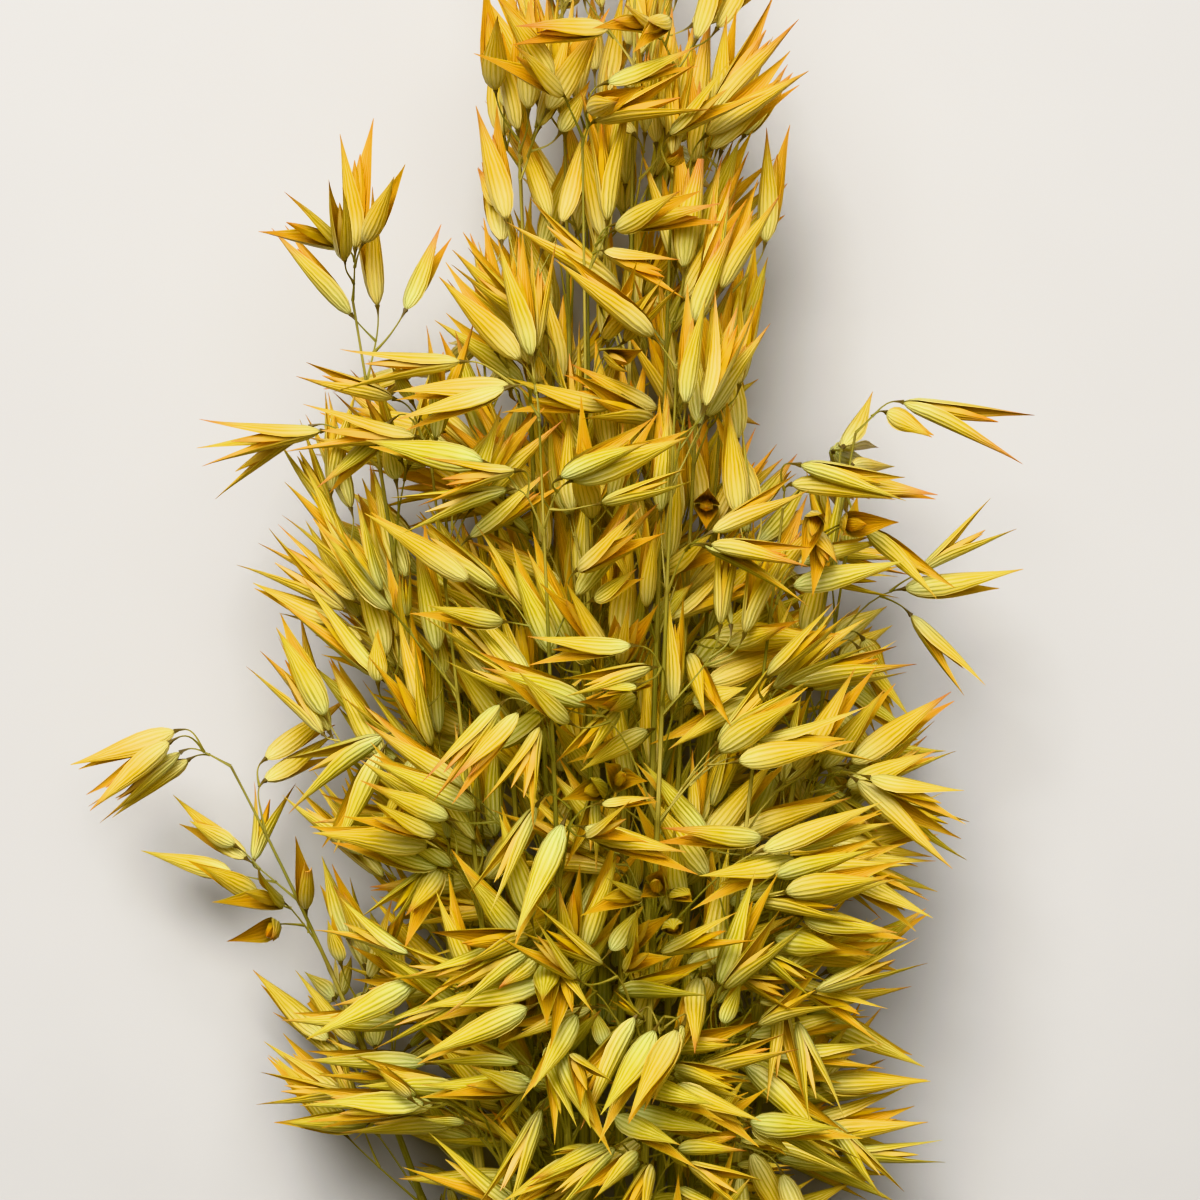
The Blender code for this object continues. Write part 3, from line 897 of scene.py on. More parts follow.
def noise(tree, scale, detail=2.0, place=None):
    """Soft noise, over the whole object unless another place is given."""
    if place is None:
        place = add(tree, "ShaderNodeTexCoord").outputs["Object"]
    return add(tree, "ShaderNodeTexNoise", {"Vector": place, "Scale": scale, "Detail": detail}).outputs["Fac"]


def wire_up(tree, shader, colour, roughness):
    """Feeds a colour and a roughness into the shader."""
    tree.links.new(colour, shader.inputs["Base Color"])
    tree.links.new(roughness, shader.inputs["Roughness"])


def add_bumps(tree, shader, height, strength, depth):
    """Feeds bumps into the shader that are depth high, in metres, at full strength."""
    node = add(tree, "ShaderNodeBump", {"Height": height, "Strength": strength, "Distance": depth})
    tree.links.new(node.outputs[0], shader.inputs["Normal"])


# %% [markdown]
# ## Lengthwise veins
# Husks and straw are both made of fine bundles that run along them. Seen close, the bundles are darker and
# greener and stand a little proud. A node group turns the distance across into such stripes, so that both
# finishes can use it with their own count and sharpness. It gives out a mask and a height.

# %% The vein group
def vein_group():
    group = bpy.data.node_groups.new("veins", "ShaderNodeTree")
    for name, start in (("Across", 0.0), ("Wander", 0.0), ("Count", 8.0), ("Sharpness", 3.0)):
        socket = group.interface.new_socket(name, in_out="INPUT", socket_type="NodeSocketFloat")
        socket.default_value = start
    group.interface.new_socket("Mask", in_out="OUTPUT", socket_type="NodeSocketFloat")
    group.interface.new_socket("Height", in_out="OUTPUT", socket_type="NodeSocketFloat")
    inside = group.nodes.new("NodeGroupInput")
    outside = group.nodes.new("NodeGroupOutput")
    across = maths(group, "ADD", inside.outputs["Across"], inside.outputs["Wander"])
    turn = maths(group, "MULTIPLY", maths(group, "MULTIPLY", across, inside.outputs["Count"]), math.tau)
    wave = maths(group, "MULTIPLY_ADD", maths(group, "COSINE", turn), 0.5, 0.5)
    mask = maths(group, "POWER", wave, inside.outputs["Sharpness"])
    group.links.new(mask, outside.inputs["Mask"])
    group.links.new(wave, outside.inputs["Height"])
    return group


veins = vein_group()


def vein_stripes(tree, across, count, sharpness, wander):
    inputs = {"Across": across, "Count": count, "Sharpness": sharpness, "Wander": wander}
    node = add(tree, "ShaderNodeGroup", inputs, node_tree=veins)
    return node.outputs["Mask"], node.outputs["Height"]


print("vein group of", len(veins.nodes), "nodes")

# %% [markdown]
# ## The straw finish
# Dried green-gold stems: paler where the sheath covered them, grey-green between, brown at the knots and in
# the small funnel under each spikelet. The attribute 'part' says what a point belongs to: 0 is plain stem,
# 1 is a knot or funnel, and -1 is the pale inside that the cut lays open.

# %% Straw material
# Where in the blotches each colour of the stem lies, from shaded to pale
STRAW_COLOURS = ((0.30, (0.23, 0.22, 0.035)), (0.52, (0.40, 0.34, 0.065)), (0.72, (0.58, 0.47, 0.13)))
RIB_COLOUR = (0.21, 0.20, 0.06)
KNOT_BROWN = (0.12, 0.075, 0.018)
PALE_INSIDE = (0.72, 0.62, 0.34)
STRAW_BLOTCHES = 38.0
STRAW_RIBS, RIB_SHARPNESS, RIB_STRENGTH, RIB_WANDER = 9.0, 1.6, 0.45, 0.1

# How much roughness the blotches add, and the least; then the strength and the height of the ribs' bumps
STRAW_ROUGH = (0.25, 0.38)
STRAW_GLOSS = 0.45
RIB_BUMPS = (0.35, 0.0002)


def straw_material():
    made, tree, shader = new_material("straw")
    across, _ = grain_uv(tree)
    blotch = noise(tree, STRAW_BLOTCHES)
    part = attribute(tree, "part")
    wander = maths(tree, "MULTIPLY", blotch, RIB_WANDER)
    stripe, height = vein_stripes(tree, across, STRAW_RIBS, RIB_SHARPNESS, wander)
    base = ramp(tree, blotch, *STRAW_COLOURS)
    ribbed = mixed(tree, maths(tree, "MULTIPLY", stripe, RIB_STRENGTH), base, RIB_COLOUR)
    knotted = mixed(tree, part, ribbed, KNOT_BROWN)
    cut = maths(tree, "MULTIPLY", part, -1.0, clamp=True)
    skin = mixed(tree, cut, knotted, PALE_INSIDE)
    wire_up(tree, shader, skin, maths(tree, "MULTIPLY_ADD", blotch, *STRAW_ROUGH))
    add_bumps(tree, shader, height, *RIB_BUMPS)
    shader.inputs["Specular IOR Level"].default_value = STRAW_GLOSS
    return made


straw = straw_material()
print("straw finish of", len(straw.node_tree.nodes), "nodes")

# %% [markdown]
# ## The stems
# The stem follows its solid exactly as far as the neck. In the head its axis may be slimmer than a solid
# may be, so it tapers further. Rings are set close together at each knot and whorl, where the girth swells.

# %% Stem radii and knots
STEM_SIDES = 10
STEM_ROWS = 74

# How slim the stem is between its knots, next to its solid, and how its axis tapers in the head
STEM_SLIM = 0.97
AXIS_END_R = 0.00024
AXIS_TAPER = 0.6
KNOTS = (0.045, 0.125)
KNOT_REACH = 0.0026
KNOT_SWELL = 0.30
WHORL_REACH = 0.0014
WHORL_SWELL = 0.28
WHORL_DARK = 0.45


def swell(y, middle, reach):
    return math.exp(-(((y - middle) / reach) ** 2))


def fine_radius(plan, y, knots, whorls):
    """Radius of the fine stalk at height y, and how much of a knot that is."""
    if y < plan["neck_y"]:
        radius = stalk_radius(plan, y)
    else:
        t = (y - plan["neck_y"]) / (plan["tip_y"] - plan["neck_y"])
        radius = NECK_R + (AXIS_END_R - NECK_R) * t**AXIS_TAPER
    knot = sum(swell(y, k, KNOT_REACH) for k in knots)
    whorl = sum(swell(y, k, WHORL_REACH) for k in whorls)
    swollen = radius * (STEM_SLIM + KNOT_SWELL * knot + WHORL_SWELL * whorl)
    return swollen, min(1.0, knot + WHORL_DARK * whorl)


# %% Rings of a stem
# Where the rings lie across a knot and across a whorl, in shares of its reach
KNOT_RINGS = (-1.6, -0.8, 0, 0.8, 1.6)
WHORL_RINGS = (-1.4, 0, 1.4)


def stem_stations(plan, knots, whorls):
    """Heights of the rings: closer at the knots and whorls, and filled in evenly between them."""
    ys = {CUT_Y, plan["tip_y"]}
    for k in knots:
        ys.update(k + step * KNOT_REACH for step in KNOT_RINGS)
    for k in whorls[:-1]:
        ys.update(k + step * WHORL_REACH for step in WHORL_RINGS)
    ys = sorted(ys)
    while len(ys) < STEM_ROWS + 1:
        widest = max(range(len(ys) - 1), key=lambda k: ys[k + 1] - ys[k])
        ys.insert(widest + 1, (ys[widest] + ys[widest + 1]) / 2)
    return ys


# %% Lay a stem
HOLLOW = 0.62
HOLLOW_DEEP = 0.004
KNOT_SHIFT = 0.03

stem_pattern = tube_pattern("stem_pattern", STEM_SIDES, STEM_ROWS)


def hollow_end(bm):
    """Sinks the cut end, so that the straw shows as a thin-walled tube with a crisp rim and a pale inside."""
    bm.normal_update()
    end = min((f for f in bm.faces if len(f.verts) == STEM_SIDES), key=lambda f: f.calc_center_median().y)
    width = (end.verts[0].co - end.calc_center_median()).length * (1 - HOLLOW)
    bmesh.ops.inset_region(bm, faces=[end], thickness=width, use_even_offset=True)
    part = vertex_layers(bm, "part")[0]
    for vert in end.verts:
        vert[part] = -1.0
    sunk = bmesh.ops.extrude_face_region(bm, geom=[end])["geom"]
    face = next(g for g in sunk if isinstance(g, bmesh.types.BMFace))
    bmesh.ops.delete(bm, geom=[end], context="FACES_ONLY")
    bmesh.ops.translate(bm, vec=(0, HOLLOW_DEEP, 0), verts=face.verts)


def lay_stem(bm, plan, rng):
    whorls = stalk_stations(plan)[STEM_RINGS:]
    knots = [k + rng.uniform(-KNOT_SHIFT, KNOT_SHIFT) for k in KNOTS]
    ys = stem_stations(plan, knots, whorls)
    placed = frames([stalk_point(plan, y) for y in ys], Vector((0, 0, -1)))
    sizes = [fine_radius(plan, y, knots, whorls) for y in ys]
    lay_tube(bm, stem_pattern, placed, [s[0] for s in sizes], [s[1] for s in sizes])
    hollow_end(bm)


# %% [markdown]
# ## The branches
# Each is a curved wire of less than a millimetre. It starts in the stem's wall, thins, and flares just under
# the spikelet, where the photo shows a small dark funnel. A longer one gets a slight wave on its way.

# %% Branch wires
WIRE_SIDES = 5

# Ring by ring from the root: the radius, and how much of the funnel's brown
WIRE_RADII = (0.00042, 0.00030, 0.00024, 0.00021, 0.00019, 0.00018, 0.00018, 0.00019, 0.00034, 0.00066)
WIRE_DARK = (0.10, 0.0, 0.0, 0.0, 0.0, 0.0, 0.1, 0.6, 0.9, 0.8)

# Where the rings lie: on the bare wire, whose end is the last of these, and in the funnel, as shares of its
# length that are still to come
BARE_CUTS = (0.0, 0.14, 0.30, 0.46, 0.62, 0.78, 0.90)
FUNNEL_CUTS = (0.75, 0.3, 0.0)
FUNNEL_LONG = 0.0034
FUNNEL_MOST = 0.5
WIRE_WAVE = 0.03

wire_pattern = tube_pattern("wire_pattern", WIRE_SIDES, len(WIRE_RADII) - 1)


def lay_wire(bm, branch, rng):
    path, span = branch["path"], (branch["path"][3] - branch["path"][0]).length
    wave = branch["flat"] * (span * rng.uniform(-WIRE_WAVE, WIRE_WAVE))
    funnel = min(FUNNEL_MOST, FUNNEL_LONG / span)
    cuts = [t * (1 - funnel) / BARE_CUTS[-1] for t in BARE_CUTS] + [1 - funnel * t for t in FUNNEL_CUTS]
    points = [bezier(path, t) + wave * math.sin(t * math.tau) * (1 - t) for t in cuts]
    lay_tube(bm, wire_pattern, frames(points, branch["flat"]), WIRE_RADII, WIRE_DARK)


# %% Straw of every stalk
FINISH_SEED = 5

finish_rng = random.Random(FINISH_SEED)
straw_pieces = []
for number, plan in enumerate(stalks, start=1):
    bm = bmesh.new()
    lay_stem(bm, plan, finish_rng)
    for branch in plan["branches"]:
        lay_wire(bm, branch, finish_rng)
    name = stalk_name(number)
    straw_pieces.append(piece_of(bm, name + "_straw", straw, "oats", name))
print("straw", triangles(straw_pieces), "triangles")

# %% [markdown]
# ## The husk finish
# The photo's husks are green-yellow at the foot, straw-yellow along the middle and orange to red-brown at
# the drawn-out tip, with fine green veins that gather at both ends. Inside they are deeper orange, partly
# their own colour and partly painted shade and painted glow of light through the husk. Husks differ, so each
# spikelet has its own 'tone', from green to gold, which also rises towards the top as painted light, and its
# own 'ripe', how far the orange comes down. 'inner' tells the skins apart: 0 outside, 1 inside, and less on
# the rims and the grain.

# %% Husk colours
# Each pair is the colour of a green husk and of a golden one; the golden one is lighter, partly painted light
HUSK_FOOT = ((0.55, 0.59, 0.19), (0.80, 0.69, 0.20))
HUSK_MIDDLE = ((0.60, 0.51, 0.020), (0.84, 0.57, 0.010))
RIPE_ORANGE = (0.68, 0.265, 0.001)
RIPE_TIP = (0.46, 0.075, 0.001)
PALE_STREAK = (0.95, 0.88, 0.56)
VEIN_GREEN = (0.15, 0.14, 0.003)
# The inside's deeper orange is partly the husk's own colour, partly painted shade and painted glow of the
# hollow
INNER_ORANGE_AND_PAINTED_SHADE = (0.70, 0.36, 0.006)

# Where along the husk each colour gives way to the next, and how far ripeness brings the orange down
FOOT_TO_MIDDLE = (0.06, 0.46)
ORANGE_DOWN, ORANGE_LONG = 0.50, 0.36
TIP_TURNS = (0.84, 1.10)
CLOUDS, CLOUD_SHIFT = 90.0, 0.4


def husk_skin(tree, along, cloud, tone, ripe):
    """The colours of a husk from foot to tip, with cloudy borders between them."""
    foot, middle = mixed(tree, tone, *HUSK_FOOT), mixed(tree, tone, *HUSK_MIDDLE)
    rise = maths(tree, "ADD", along, maths(tree, "MULTIPLY_ADD", cloud, CLOUD_SHIFT, -CLOUD_SHIFT / 2))
    skin = mixed(tree, rise_between(tree, rise, *FOOT_TO_MIDDLE), foot, middle)
    start = maths(tree, "MULTIPLY_ADD", ripe, -ORANGE_DOWN, 1.0)
    end = maths(tree, "ADD", start, ORANGE_LONG)
    skin = mixed(tree, rise_between(tree, rise, start, end), skin, RIPE_ORANGE)
    red = maths(tree, "MULTIPLY", rise_between(tree, rise, *TIP_TURNS), ripe)
    return mixed(tree, red, skin, RIPE_TIP)


# %% Husk material
HUSK_VEINS, VEIN_SHARPNESS, VEIN_WANDER = 7.0, 7.0, 0.09
STREAKS, STREAK_STRETCH, STREAK_STRENGTH = 26.0, 0.12, 0.55
INNER_STRENGTH = 0.65

# The veins fade out towards the tip, from the second to the first of these shares of the way up. Then how
# much stronger they are below that and how strong at least, and how the clouds blot them out in patches
VEIN_FADES = (0.95, 0.45)
VEIN_STRENGTH = (0.58, 0.25)
VEIN_PATCHES = (1.1, -0.05)

# How much roughness the streaks add, and the least; then the strength and the height of the veins' bumps
HUSK_ROUGH = (0.24, 0.34)
HUSK_GLOSS = 0.42
VEIN_BUMPS = (0.5, 0.00025)


def husk_material():
    made, tree, shader = new_material("husk")
    across, along = grain_uv(tree)
    tone, ripe, inner = (attribute(tree, name) for name in ("tone", "ripe", "inner"))
    cloud = noise(tree, CLOUDS)
    stretched = maths(tree, "MULTIPLY", along, STREAK_STRETCH)
    place = add(tree, "ShaderNodeCombineXYZ", {0: across, 1: stretched, 2: tone}).outputs[0]
    streak = noise(tree, STREAKS, 1.0, place)
    wander = maths(tree, "MULTIPLY", streak, VEIN_WANDER)
    stripe, height = vein_stripes(tree, across, HUSK_VEINS, VEIN_SHARPNESS, wander)

    between = maths(tree, "SUBTRACT", 1.0, height)
    pale = maths(tree, "MULTIPLY", between, maths(tree, "MULTIPLY", streak, STREAK_STRENGTH))
    skin = mixed(tree, pale, husk_skin(tree, along, cloud, tone, ripe), PALE_STREAK)

    faded = maths(tree, "MULTIPLY_ADD", rise_between(tree, along, *VEIN_FADES), *VEIN_STRENGTH)
    patchy = maths(tree, "MULTIPLY_ADD", cloud, *VEIN_PATCHES, clamp=True)
    veined = maths(tree, "MULTIPLY", stripe, maths(tree, "MULTIPLY", faded, patchy))
    skin = mixed(tree, veined, skin, VEIN_GREEN)
    # Painted shade and glow: the inside of each husk is mixed towards the deeper orange
    skin = mixed(tree, maths(tree, "MULTIPLY", inner, INNER_STRENGTH), skin, INNER_ORANGE_AND_PAINTED_SHADE)

    wire_up(tree, shader, skin, maths(tree, "MULTIPLY_ADD", streak, *HUSK_ROUGH))
    add_bumps(tree, shader, height, *VEIN_BUMPS)
    shader.inputs["Specular IOR Level"].default_value = HUSK_GLOSS
    return made


husk = husk_material()
print("husk finish of", len(husk.node_tree.nodes), "nodes")

# %% [markdown]
# ## Husks
# A husk is a papery boat: rounded at the foot, widest a third of the way up, then drawn out to a point, and
# hollow on the side that faces its partner. The pattern is a tube of eight sides and nine rows. Laid on a
# spikelet, five of its eight lines make the outer skin and three are pushed in behind it, so that the tube
# becomes a thin crescent with sharp rims and needs no further wall.

# %% Husk form
# Ring by ring: how far up, then the half width, the distance of the back from the spikelet's middle and the
# depth of the hollow as shares of the greatest, and the half angle that the skin wraps
HUSK_ROWS = (0.0, 0.035, 0.10, 0.20, 0.33, 0.48, 0.64, 0.79, 0.91, 1.0)
HUSK_WIDTHS = (0.16, 0.44, 0.76, 0.96, 1.0, 0.84, 0.56, 0.30, 0.12, 0.02)
HUSK_BACKS = (0.14, 0.42, 0.75, 0.96, 1.0, 0.97, 0.86, 0.70, 0.58, 0.52)
HUSK_DEPTHS = (0.10, 0.40, 0.72, 0.92, 0.95, 0.80, 0.52, 0.27, 0.11, 0.02)
HUSK_WRAPS = (1.20, 1.25, 1.32, 1.35, 1.32, 1.25, 1.15, 1.05, 0.9, 0.8)
HUSK_SIDES = 8

# The greatest half width and the greatest depth, as shares of the spikelet's length, and how the two husks
# part further up
HUSK_WIDE, HUSK_DEEP = 0.106, 0.081
PARTS_FROM, PARTS_POWER, PARTS_SHARE = 0.18, 1.25, 0.90

# How husks differ: girth, lean, curl towards or away from the partner, and sway to the side
GIRTH_VARIES, LEAN_VARIES = (0.84, 1.12), (0.9, 1.1)
CURL_VARIES, SWAY_VARIES = 0.03, 0.022
RUNT_STOUT = 1.8

husk_pattern = tube_pattern("husk_pattern", HUSK_SIDES, len(HUSK_ROWS) - 1, HUSK_ROWS)


def husk_shape(rng, branch, cut):
    """The rings of one husk, each with its height, width, back, depth, wrap and sway.

    A cut below 1 says how much of a broken husk is left.
    """
    size = branch["size"]
    stout = rng.uniform(*GIRTH_VARIES) * (RUNT_STOUT if branch.get("runt") else 1)
    lean = math.tan(branch["open"]) * rng.uniform(*LEAN_VARIES)
    curl, sway = rng.gauss(0.0, CURL_VARIES), rng.gauss(0.0, SWAY_VARIES)
    rings = []
    for row in HUSK_ROWS:
        v = row * cut
        width = HUSK_WIDE * stout * np.interp(v, HUSK_ROWS, HUSK_WIDTHS)
        back = HUSK_DEEP * np.interp(v, HUSK_ROWS, HUSK_BACKS)
        depth = HUSK_DEEP * np.interp(v, HUSK_ROWS, HUSK_DEPTHS)
        wrap = np.interp(v, HUSK_ROWS, HUSK_WRAPS)
        back += lean * PARTS_SHARE * max(0.0, v - PARTS_FROM) ** PARTS_POWER + curl * v**3
        rings.append((size * v, size * width, size * back, size * depth, wrap, size * sway * v * v))
    return rings


# %% Lay a husk
HUSK_WALL = 0.00022
# The rims take some of the inside's orange, with its painted shade
RIM_INNER = 0.25

# Which of the pattern's points lie behind its front, and which on its rims
BEHIND, AT_RIM = -0.1, 0.99
SKIN_MARKS = ("tone", "ripe", "inner")


def lay_husk(bm, branch, sign, rings, length, marks):
    """Bends a copy of the pattern into one husk of a spikelet."""
    end, flat = branch["end"], branch["flat"] * sign
    wide = flat.cross(end)
    base = branch["path"][3]
    tone, ripe, inner = vertex_layers(bm, *SKIN_MARKS)
    for vert in new_verts(bm, husk_pattern):
        high, width, back, depth, wrap, sway = rings[round(vert.co.z)]
        bend = wrap * side_angle(vert.co.x) / (math.pi / 2)
        behind = vert.co.y < BEHIND
        wall = min(HUSK_WALL, width * 0.5) if behind else 0.0
        across = width * math.sin(bend) / math.sin(wrap) - wall * math.sin(bend)
        apart = back - depth * (1 - math.cos(bend)) / (1 - math.cos(wrap)) - wall * math.cos(bend)
        rim = abs(vert.co.x) > AT_RIM
        vert.co = base + end * (high * length) + flat * apart + wide * (across + sway)
        vert[tone], vert[ripe] = marks
        vert[inner] = 1.0 if behind else RIM_INNER if rim else 0.0


# %% [markdown]
# ## The grain between the husks
# Where a spikelet opens, the narrow orange-brown grain in its own tight husk shows between the two boats,
# and often a second smaller one further up. Each is a spindle, laid a little to one side.

# %% Grain form
GRAIN_SIDES = 6
GRAIN_RADII = (0.30, 0.86, 1.0, 0.84, 0.48, 0.05)
GRAIN_ROWS = (0.0, 0.2, 0.4, 0.6, 0.8, 1.0)
GRAIN_WIDE, GRAIN_FLAT, GRAIN_LONG = 0.066, 0.8, 0.70
GRAIN_TILT = 0.5
# The grain takes part of the inside's orange, with its painted shade
GRAIN_INNER = 0.5

grain_pattern = tube_pattern("grain_pattern", GRAIN_SIDES, len(GRAIN_RADII) - 1, GRAIN_ROWS)


def lay_grain(bm, branch, rng, start, length, marks):
    """Lays a grain of a relative length between the husks, a share start of the way up the spikelet."""
    size, end, flat = branch["size"], branch["end"], branch["flat"]
    tilt = rng.uniform(-GRAIN_TILT, GRAIN_TILT) * math.tan(branch["open"])
    along = (end + flat * tilt).normalized()
    side = (flat - along * flat.dot(along)).normalized()
    wide = side.cross(along)
    base = branch["path"][3] + end * (size * start)
    tone, ripe, inner = vertex_layers(bm, *SKIN_MARKS)
    for vert in new_verts(bm, grain_pattern):
        row = round(vert.co.z)
        radius = GRAIN_RADII[row] * GRAIN_WIDE * size * length
        high = size * GRAIN_LONG * length * row / (len(GRAIN_RADII) - 1)
        vert.co = base + along * high + side * (vert.co.y * radius * GRAIN_FLAT) + wide * (vert.co.x * radius)
        vert[tone], vert[ripe] = marks
        vert[inner] = GRAIN_INNER


# %% [markdown]
# ## Every spikelet
# The spikelets at the top of a head ripen first, so they are the most orange. Their tone also rises to a
# lighter gold towards the top and a darker green lower down, partly ripening and partly painted light above
# and painted shade below, where the heads are dense. Each stalk starts from a tone of its own, and each
# spikelet strays a little from it. Here and there a husk is broken off short. All spikelets of a stalk are
# one piece, because they share a finish and never move apart.

# %% Tone and ripeness
RIPE_FROM, RIPE_TO = 0.20, 0.47
STALK_TONES = (0.2, 0.8)
# How far the tone rises towards the top: partly ripening, partly painted light there and painted shade lower
# down
TONE_AND_PAINTED_LIGHT_RISE, TONE_VARIES = 0.55, 0.25
RIPE_LEAST, RIPE_RISE, RIPE_VARIES = 0.22, 0.50, 0.24


def share(value):
    """A value held between 0 and 1."""
    return min(1.0, max(0.0, value))


def spikelet_marks(rng, branch, stalk_tone):
    """Tone and ripeness of a spikelet, rising with its height; the tone's rise is partly painted light."""
    height = (branch["path"][3].y - RIPE_FROM) / (RIPE_TO - RIPE_FROM)
    # Painted light and shade: the tone, and with it the brightness, rises with height in the bunch
    tone = share(rng.gauss(stalk_tone + TONE_AND_PAINTED_LIGHT_RISE * (height - 0.5), TONE_VARIES))
    ripe = share(rng.gauss(RIPE_LEAST + RIPE_RISE * height, RIPE_VARIES))
    return tone, ripe


# %% Lay every spikelet
BROKEN_SHARE, BROKEN_AT = 0.015, (0.68, 0.86)
SHORTER_HUSK = (0.90, 1.0)

# Where a grain starts and how long it is, and how many spikelets have a second one
FIRST_GRAIN, SECOND_GRAIN = (0.04, 1.0), (0.20, 0.72)
SECOND_GRAIN_SHARE = 0.45


def lay_spikelet(bm, branch, rng, stalk_tone):
    marks = spikelet_marks(rng, branch, stalk_tone)
    for sign in (-1, 1):
        broken = rng.random() < BROKEN_SHARE
        cut = rng.uniform(*BROKEN_AT) if broken else 1.0
        length = rng.uniform(*SHORTER_HUSK) if sign < 0 else 1.0
        lay_husk(bm, branch, sign, husk_shape(rng, branch, cut), length, marks)
    lay_grain(bm, branch, rng, *FIRST_GRAIN, marks)
    if rng.random() < SECOND_GRAIN_SHARE:
        lay_grain(bm, branch, rng, *SECOND_GRAIN, marks)


husk_pieces = []
for number, plan in enumerate(stalks, start=1):
    bm = bmesh.new()
    stalk_tone = finish_rng.uniform(*STALK_TONES)
    for branch in plan["branches"]:
        lay_spikelet(bm, branch, finish_rng, stalk_tone)
    name = stalk_name(number)
    husk_pieces.append(piece_of(bm, name + "_spikelets", husk, "oats", name))
print("husks and grains", triangles(husk_pieces), "triangles")

# %% [markdown]
# ## The band's finish
# A natural rubber band is a dull tan, a little mottled where dust clings to it. It needs no pattern of its
# own, only fine noise in its colour, its roughness and its bumps.

# %% Band material
RUBBER_COLOURS = ((0.35, (0.50, 0.30, 0.13)), (0.65, (0.63, 0.42, 0.21)))
RUBBER_MOTTLE, RUBBER_DETAIL = 220.0, 3.0
RUBBER_ROUGH = (0.2, 0.55)
RUBBER_BUMPS = (0.3, 0.0001)


def band_material():
    made, tree, shader = new_material("band_rubber")
    mottle = noise(tree, RUBBER_MOTTLE, RUBBER_DETAIL)
    roughness = maths(tree, "MULTIPLY_ADD", mottle, *RUBBER_ROUGH)
    wire_up(tree, shader, ramp(tree, mottle, *RUBBER_COLOURS), roughness)
    add_bumps(tree, shader, mottle, *RUBBER_BUMPS)
    return made


rubber = band_material()
print("rubber finish of", len(rubber.node_tree.nodes), "nodes")

# %% [markdown]
# ## The band
# Dried grasses are bunched with a rubber band wound three times round the stems. Its turns lie side by side,
# and the last goes back over the others to where the first began. So one closed loop is followed round the
# bunch three times, stepping along it, and crosses back over itself in the last part of the way.

# %% Where the band runs
BAND_TURNS = 3
BAND_TURN_WIDE = 0.0022
BAND_THICK = 0.0011
CROSS_SHARE = 0.07
CROSS_LIFT = 1.1


def band_frame(way):
    """Where the middle of the strip is, a share of the way round the closed loop, and how it faces."""
    turn = math.tau * BAND_TURNS * way
    half = (BAND_TURNS - 1) * BAND_TURN_WIDE / 2
    crossing = way - (1 - CROSS_SHARE)
    if crossing < 0:
        y = -half + 2 * half * way / (1 - CROSS_SHARE)
        lift = 0.0
    else:
        t = crossing / CROSS_SHARE
        y = half - 2 * half * (3 * t * t - 2 * t**3)
        lift = BAND_THICK * CROSS_LIFT * math.sin(math.pi * t) ** 0.5
    radius = BAND_REACH + STEM_R + STEM_GAP + BAND_THICK / 2 + lift
    out, forward = Vector((math.cos(turn), 0, math.sin(turn))), Vector((0, 1, 0))
    faced = Matrix((out, forward, out.cross(forward))).transposed().to_4x4()
    return Matrix.Translation(out * radius + Vector((0, y, 0))) @ faced


# %% Lay the band
BAND_STEPS = 120
STRIP_SIDES = 10
STRIP_SQUARE = 0.6
STRIP_FILLS = 0.48


def lay_band():
    """A rounded oblong section, extruded along the loop frame by frame and closed on itself."""
    bm = bmesh.new()
    for vert in bmesh.ops.create_circle(bm, segments=STRIP_SIDES, radius=0.5)["verts"]:
        x, y = vert.co.x, vert.co.y
        vert.co.x = math.copysign(abs(2 * x) ** STRIP_SQUARE, x) * BAND_THICK / 2
        vert.co.y = math.copysign(abs(2 * y) ** STRIP_SQUARE, y) * BAND_TURN_WIDE * STRIP_FILLS
    placed = [band_frame(k / BAND_STEPS) for k in range(BAND_STEPS)]
    bmesh.ops.transform(bm, matrix=placed[0], verts=bm.verts)
    first = edges = list(bm.edges)
    for low, high in zip(placed, placed[1:]):
        grown = bmesh.ops.extrude_edge_only(bm, edges=edges)["geom"]
        verts = [g for g in grown if isinstance(g, bmesh.types.BMVert)]
        edges = [g for g in grown if isinstance(g, bmesh.types.BMEdge)]
        bmesh.ops.transform(bm, matrix=high @ low.inverted(), verts=verts)
    bmesh.ops.bridge_loops(bm, edges=first + edges)
    bmesh.ops.recalc_face_normals(bm, faces=bm.faces)
    lean = Matrix.Rotation(math.atan(TABLE_SLOPE), 4, "X")
    bmesh.ops.transform(bm, matrix=Matrix.Translation((0, 0, axis_height(0))) @ lean, verts=bm.verts)
    for face in bm.faces:
        face.smooth = True
    return bm


band = piece_of(lay_band(), "band_turns", rubber, "band", "band")
print("band", len(band.data.polygons), "faces")

# %% [markdown]
# ## The table
# A plain pale surface shows the colours best. It could be a box, but only its top is ever seen, so one large
# face does. It stages the bunch and is no part of it.

# %% Table
FLOOR_COLOURS = ((0.3, (0.530, 0.523, 0.515)), (0.7, (0.552, 0.546, 0.537)))
FLOOR_MOTTLE, FLOOR_DETAIL = 14.0, 4.0
FLOOR_ROUGH = 0.8
FLOOR_HALF = 8.0
FLOOR_BELOW = 0.0002


def floor_material():
    made, tree, shader = new_material("pale_floor")
    mottle = noise(tree, FLOOR_MOTTLE, FLOOR_DETAIL)
    tree.links.new(ramp(tree, mottle, *FLOOR_COLOURS), shader.inputs["Base Color"])
    shader.inputs["Roughness"].default_value = FLOOR_ROUGH
    return made


bm = bmesh.new()
bmesh.ops.create_grid(bm, x_segments=1, y_segments=1, size=FLOOR_HALF)
mesh = bpy.data.meshes.new("floor")
bm.to_mesh(mesh)
bm.free()
mesh.materials.append(floor_material())
floor = bpy.data.objects.new("floor", mesh)
floor.location.z = -FLOOR_BELOW
bpy.context.scene.collection.objects.link(floor)
print("table", round(2 * FLOOR_HALF), "m wide")

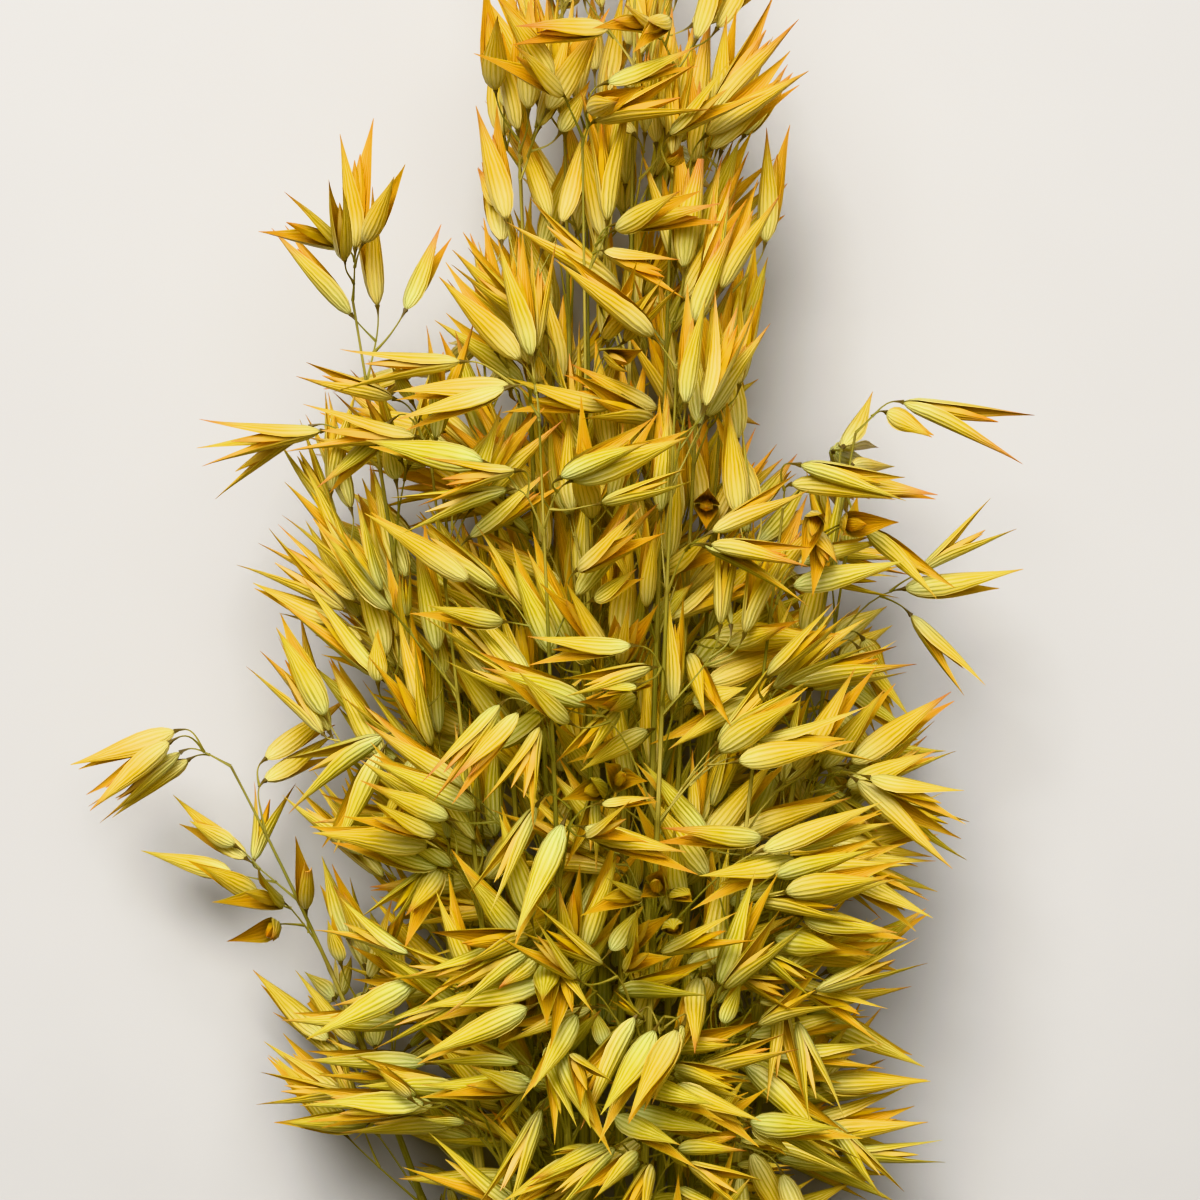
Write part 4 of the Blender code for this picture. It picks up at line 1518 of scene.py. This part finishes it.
# %% [markdown]
# ## Light
# The photo was taken by soft daylight. Two large round lights give that: one beyond the heads, as from a
# window, whose light rakes over the husks, and one overhead that opens the shade. A weak warm room fills the
# rest. The view transform keeps the husks' yellow, and its exposure and gamma lift the shade as in the photo.

# %% Light
DAYLIGHT = (1.0, 0.99, 0.98)
ROOM_COLOUR, ROOM_STRENGTH = (1.0, 0.84, 0.52), 0.075
EXPOSURE, GAMMA = 0.48, 0.84


def area_light(name, place, towards, size, power):
    data = bpy.data.lights.new(name, "AREA")
    data.shape = "DISK"
    data.size = size
    data.energy = power
    data.color = DAYLIGHT
    made = bpy.data.objects.new(name, data)
    made.location = place
    made.rotation_euler = (Vector(towards) - Vector(place)).to_track_quat("-Z", "Y").to_euler()
    bpy.context.scene.collection.objects.link(made)


area_light("window", place=(-0.22, 0.72, 1.18), towards=(0, 0.10, 0.05), size=0.70, power=15)
area_light("overhead", place=(0.15, 0.56, 1.6), towards=(0, 0.1, 0), size=1.0, power=15)
world = bpy.data.worlds.new("room")
world.use_nodes = True
background = world.node_tree.nodes["Background"]
background.inputs["Color"].default_value = (*ROOM_COLOUR, 1)
background.inputs["Strength"].default_value = ROOM_STRENGTH
bpy.context.scene.world = world
view = bpy.context.scene.view_settings
view.view_transform = "Khronos PBR Neutral"
view.exposure = EXPOSURE
view.gamma = GAMMA
print("lights", len(bpy.data.lights), "and a room of strength", ROOM_STRENGTH)

# %% [markdown]
# ## Camera
# The bunch lies down, so the camera looks straight down on it, from as far away as a hand holds a camera
# from an upright bunch. The size of a pixel on the bunch then gives the lens, and the place of the bunch's
# middle line in the photo gives the camera's.

# %% Camera
# A pixel of the photo in metres on the bunch, the photo's side in pixels, and the middle line's column
PIXEL = 0.225e-3
PHOTO_SIDE = 1200
AXIS_PIXEL = 607

# How far from the band the photo's lower edge crosses the bunch, and the camera's height over its middle
BOTTOM_Y = 0.20
MIDDLE_Z = 0.055
VIEW_FROM = 0.80
SENSOR = 36

camera_data = bpy.data.cameras.new("camera")
camera_data.sensor_width = SENSOR
camera_data.lens = SENSOR * VIEW_FROM / (PHOTO_SIDE * PIXEL)
camera = bpy.data.objects.new("camera", camera_data)
middle_x = to_frame.x - (AXIS_PIXEL - PHOTO_SIDE / 2) * PIXEL
middle_y = to_frame.y + BOTTOM_Y + PHOTO_SIDE / 2 * PIXEL
camera.location = (middle_x, middle_y, MIDDLE_Z + VIEW_FROM)
bpy.context.scene.collection.objects.link(camera)
bpy.context.scene.camera = camera
print("camera at", [round(c, 3) for c in camera.location], "lens", round(camera_data.lens, 1))
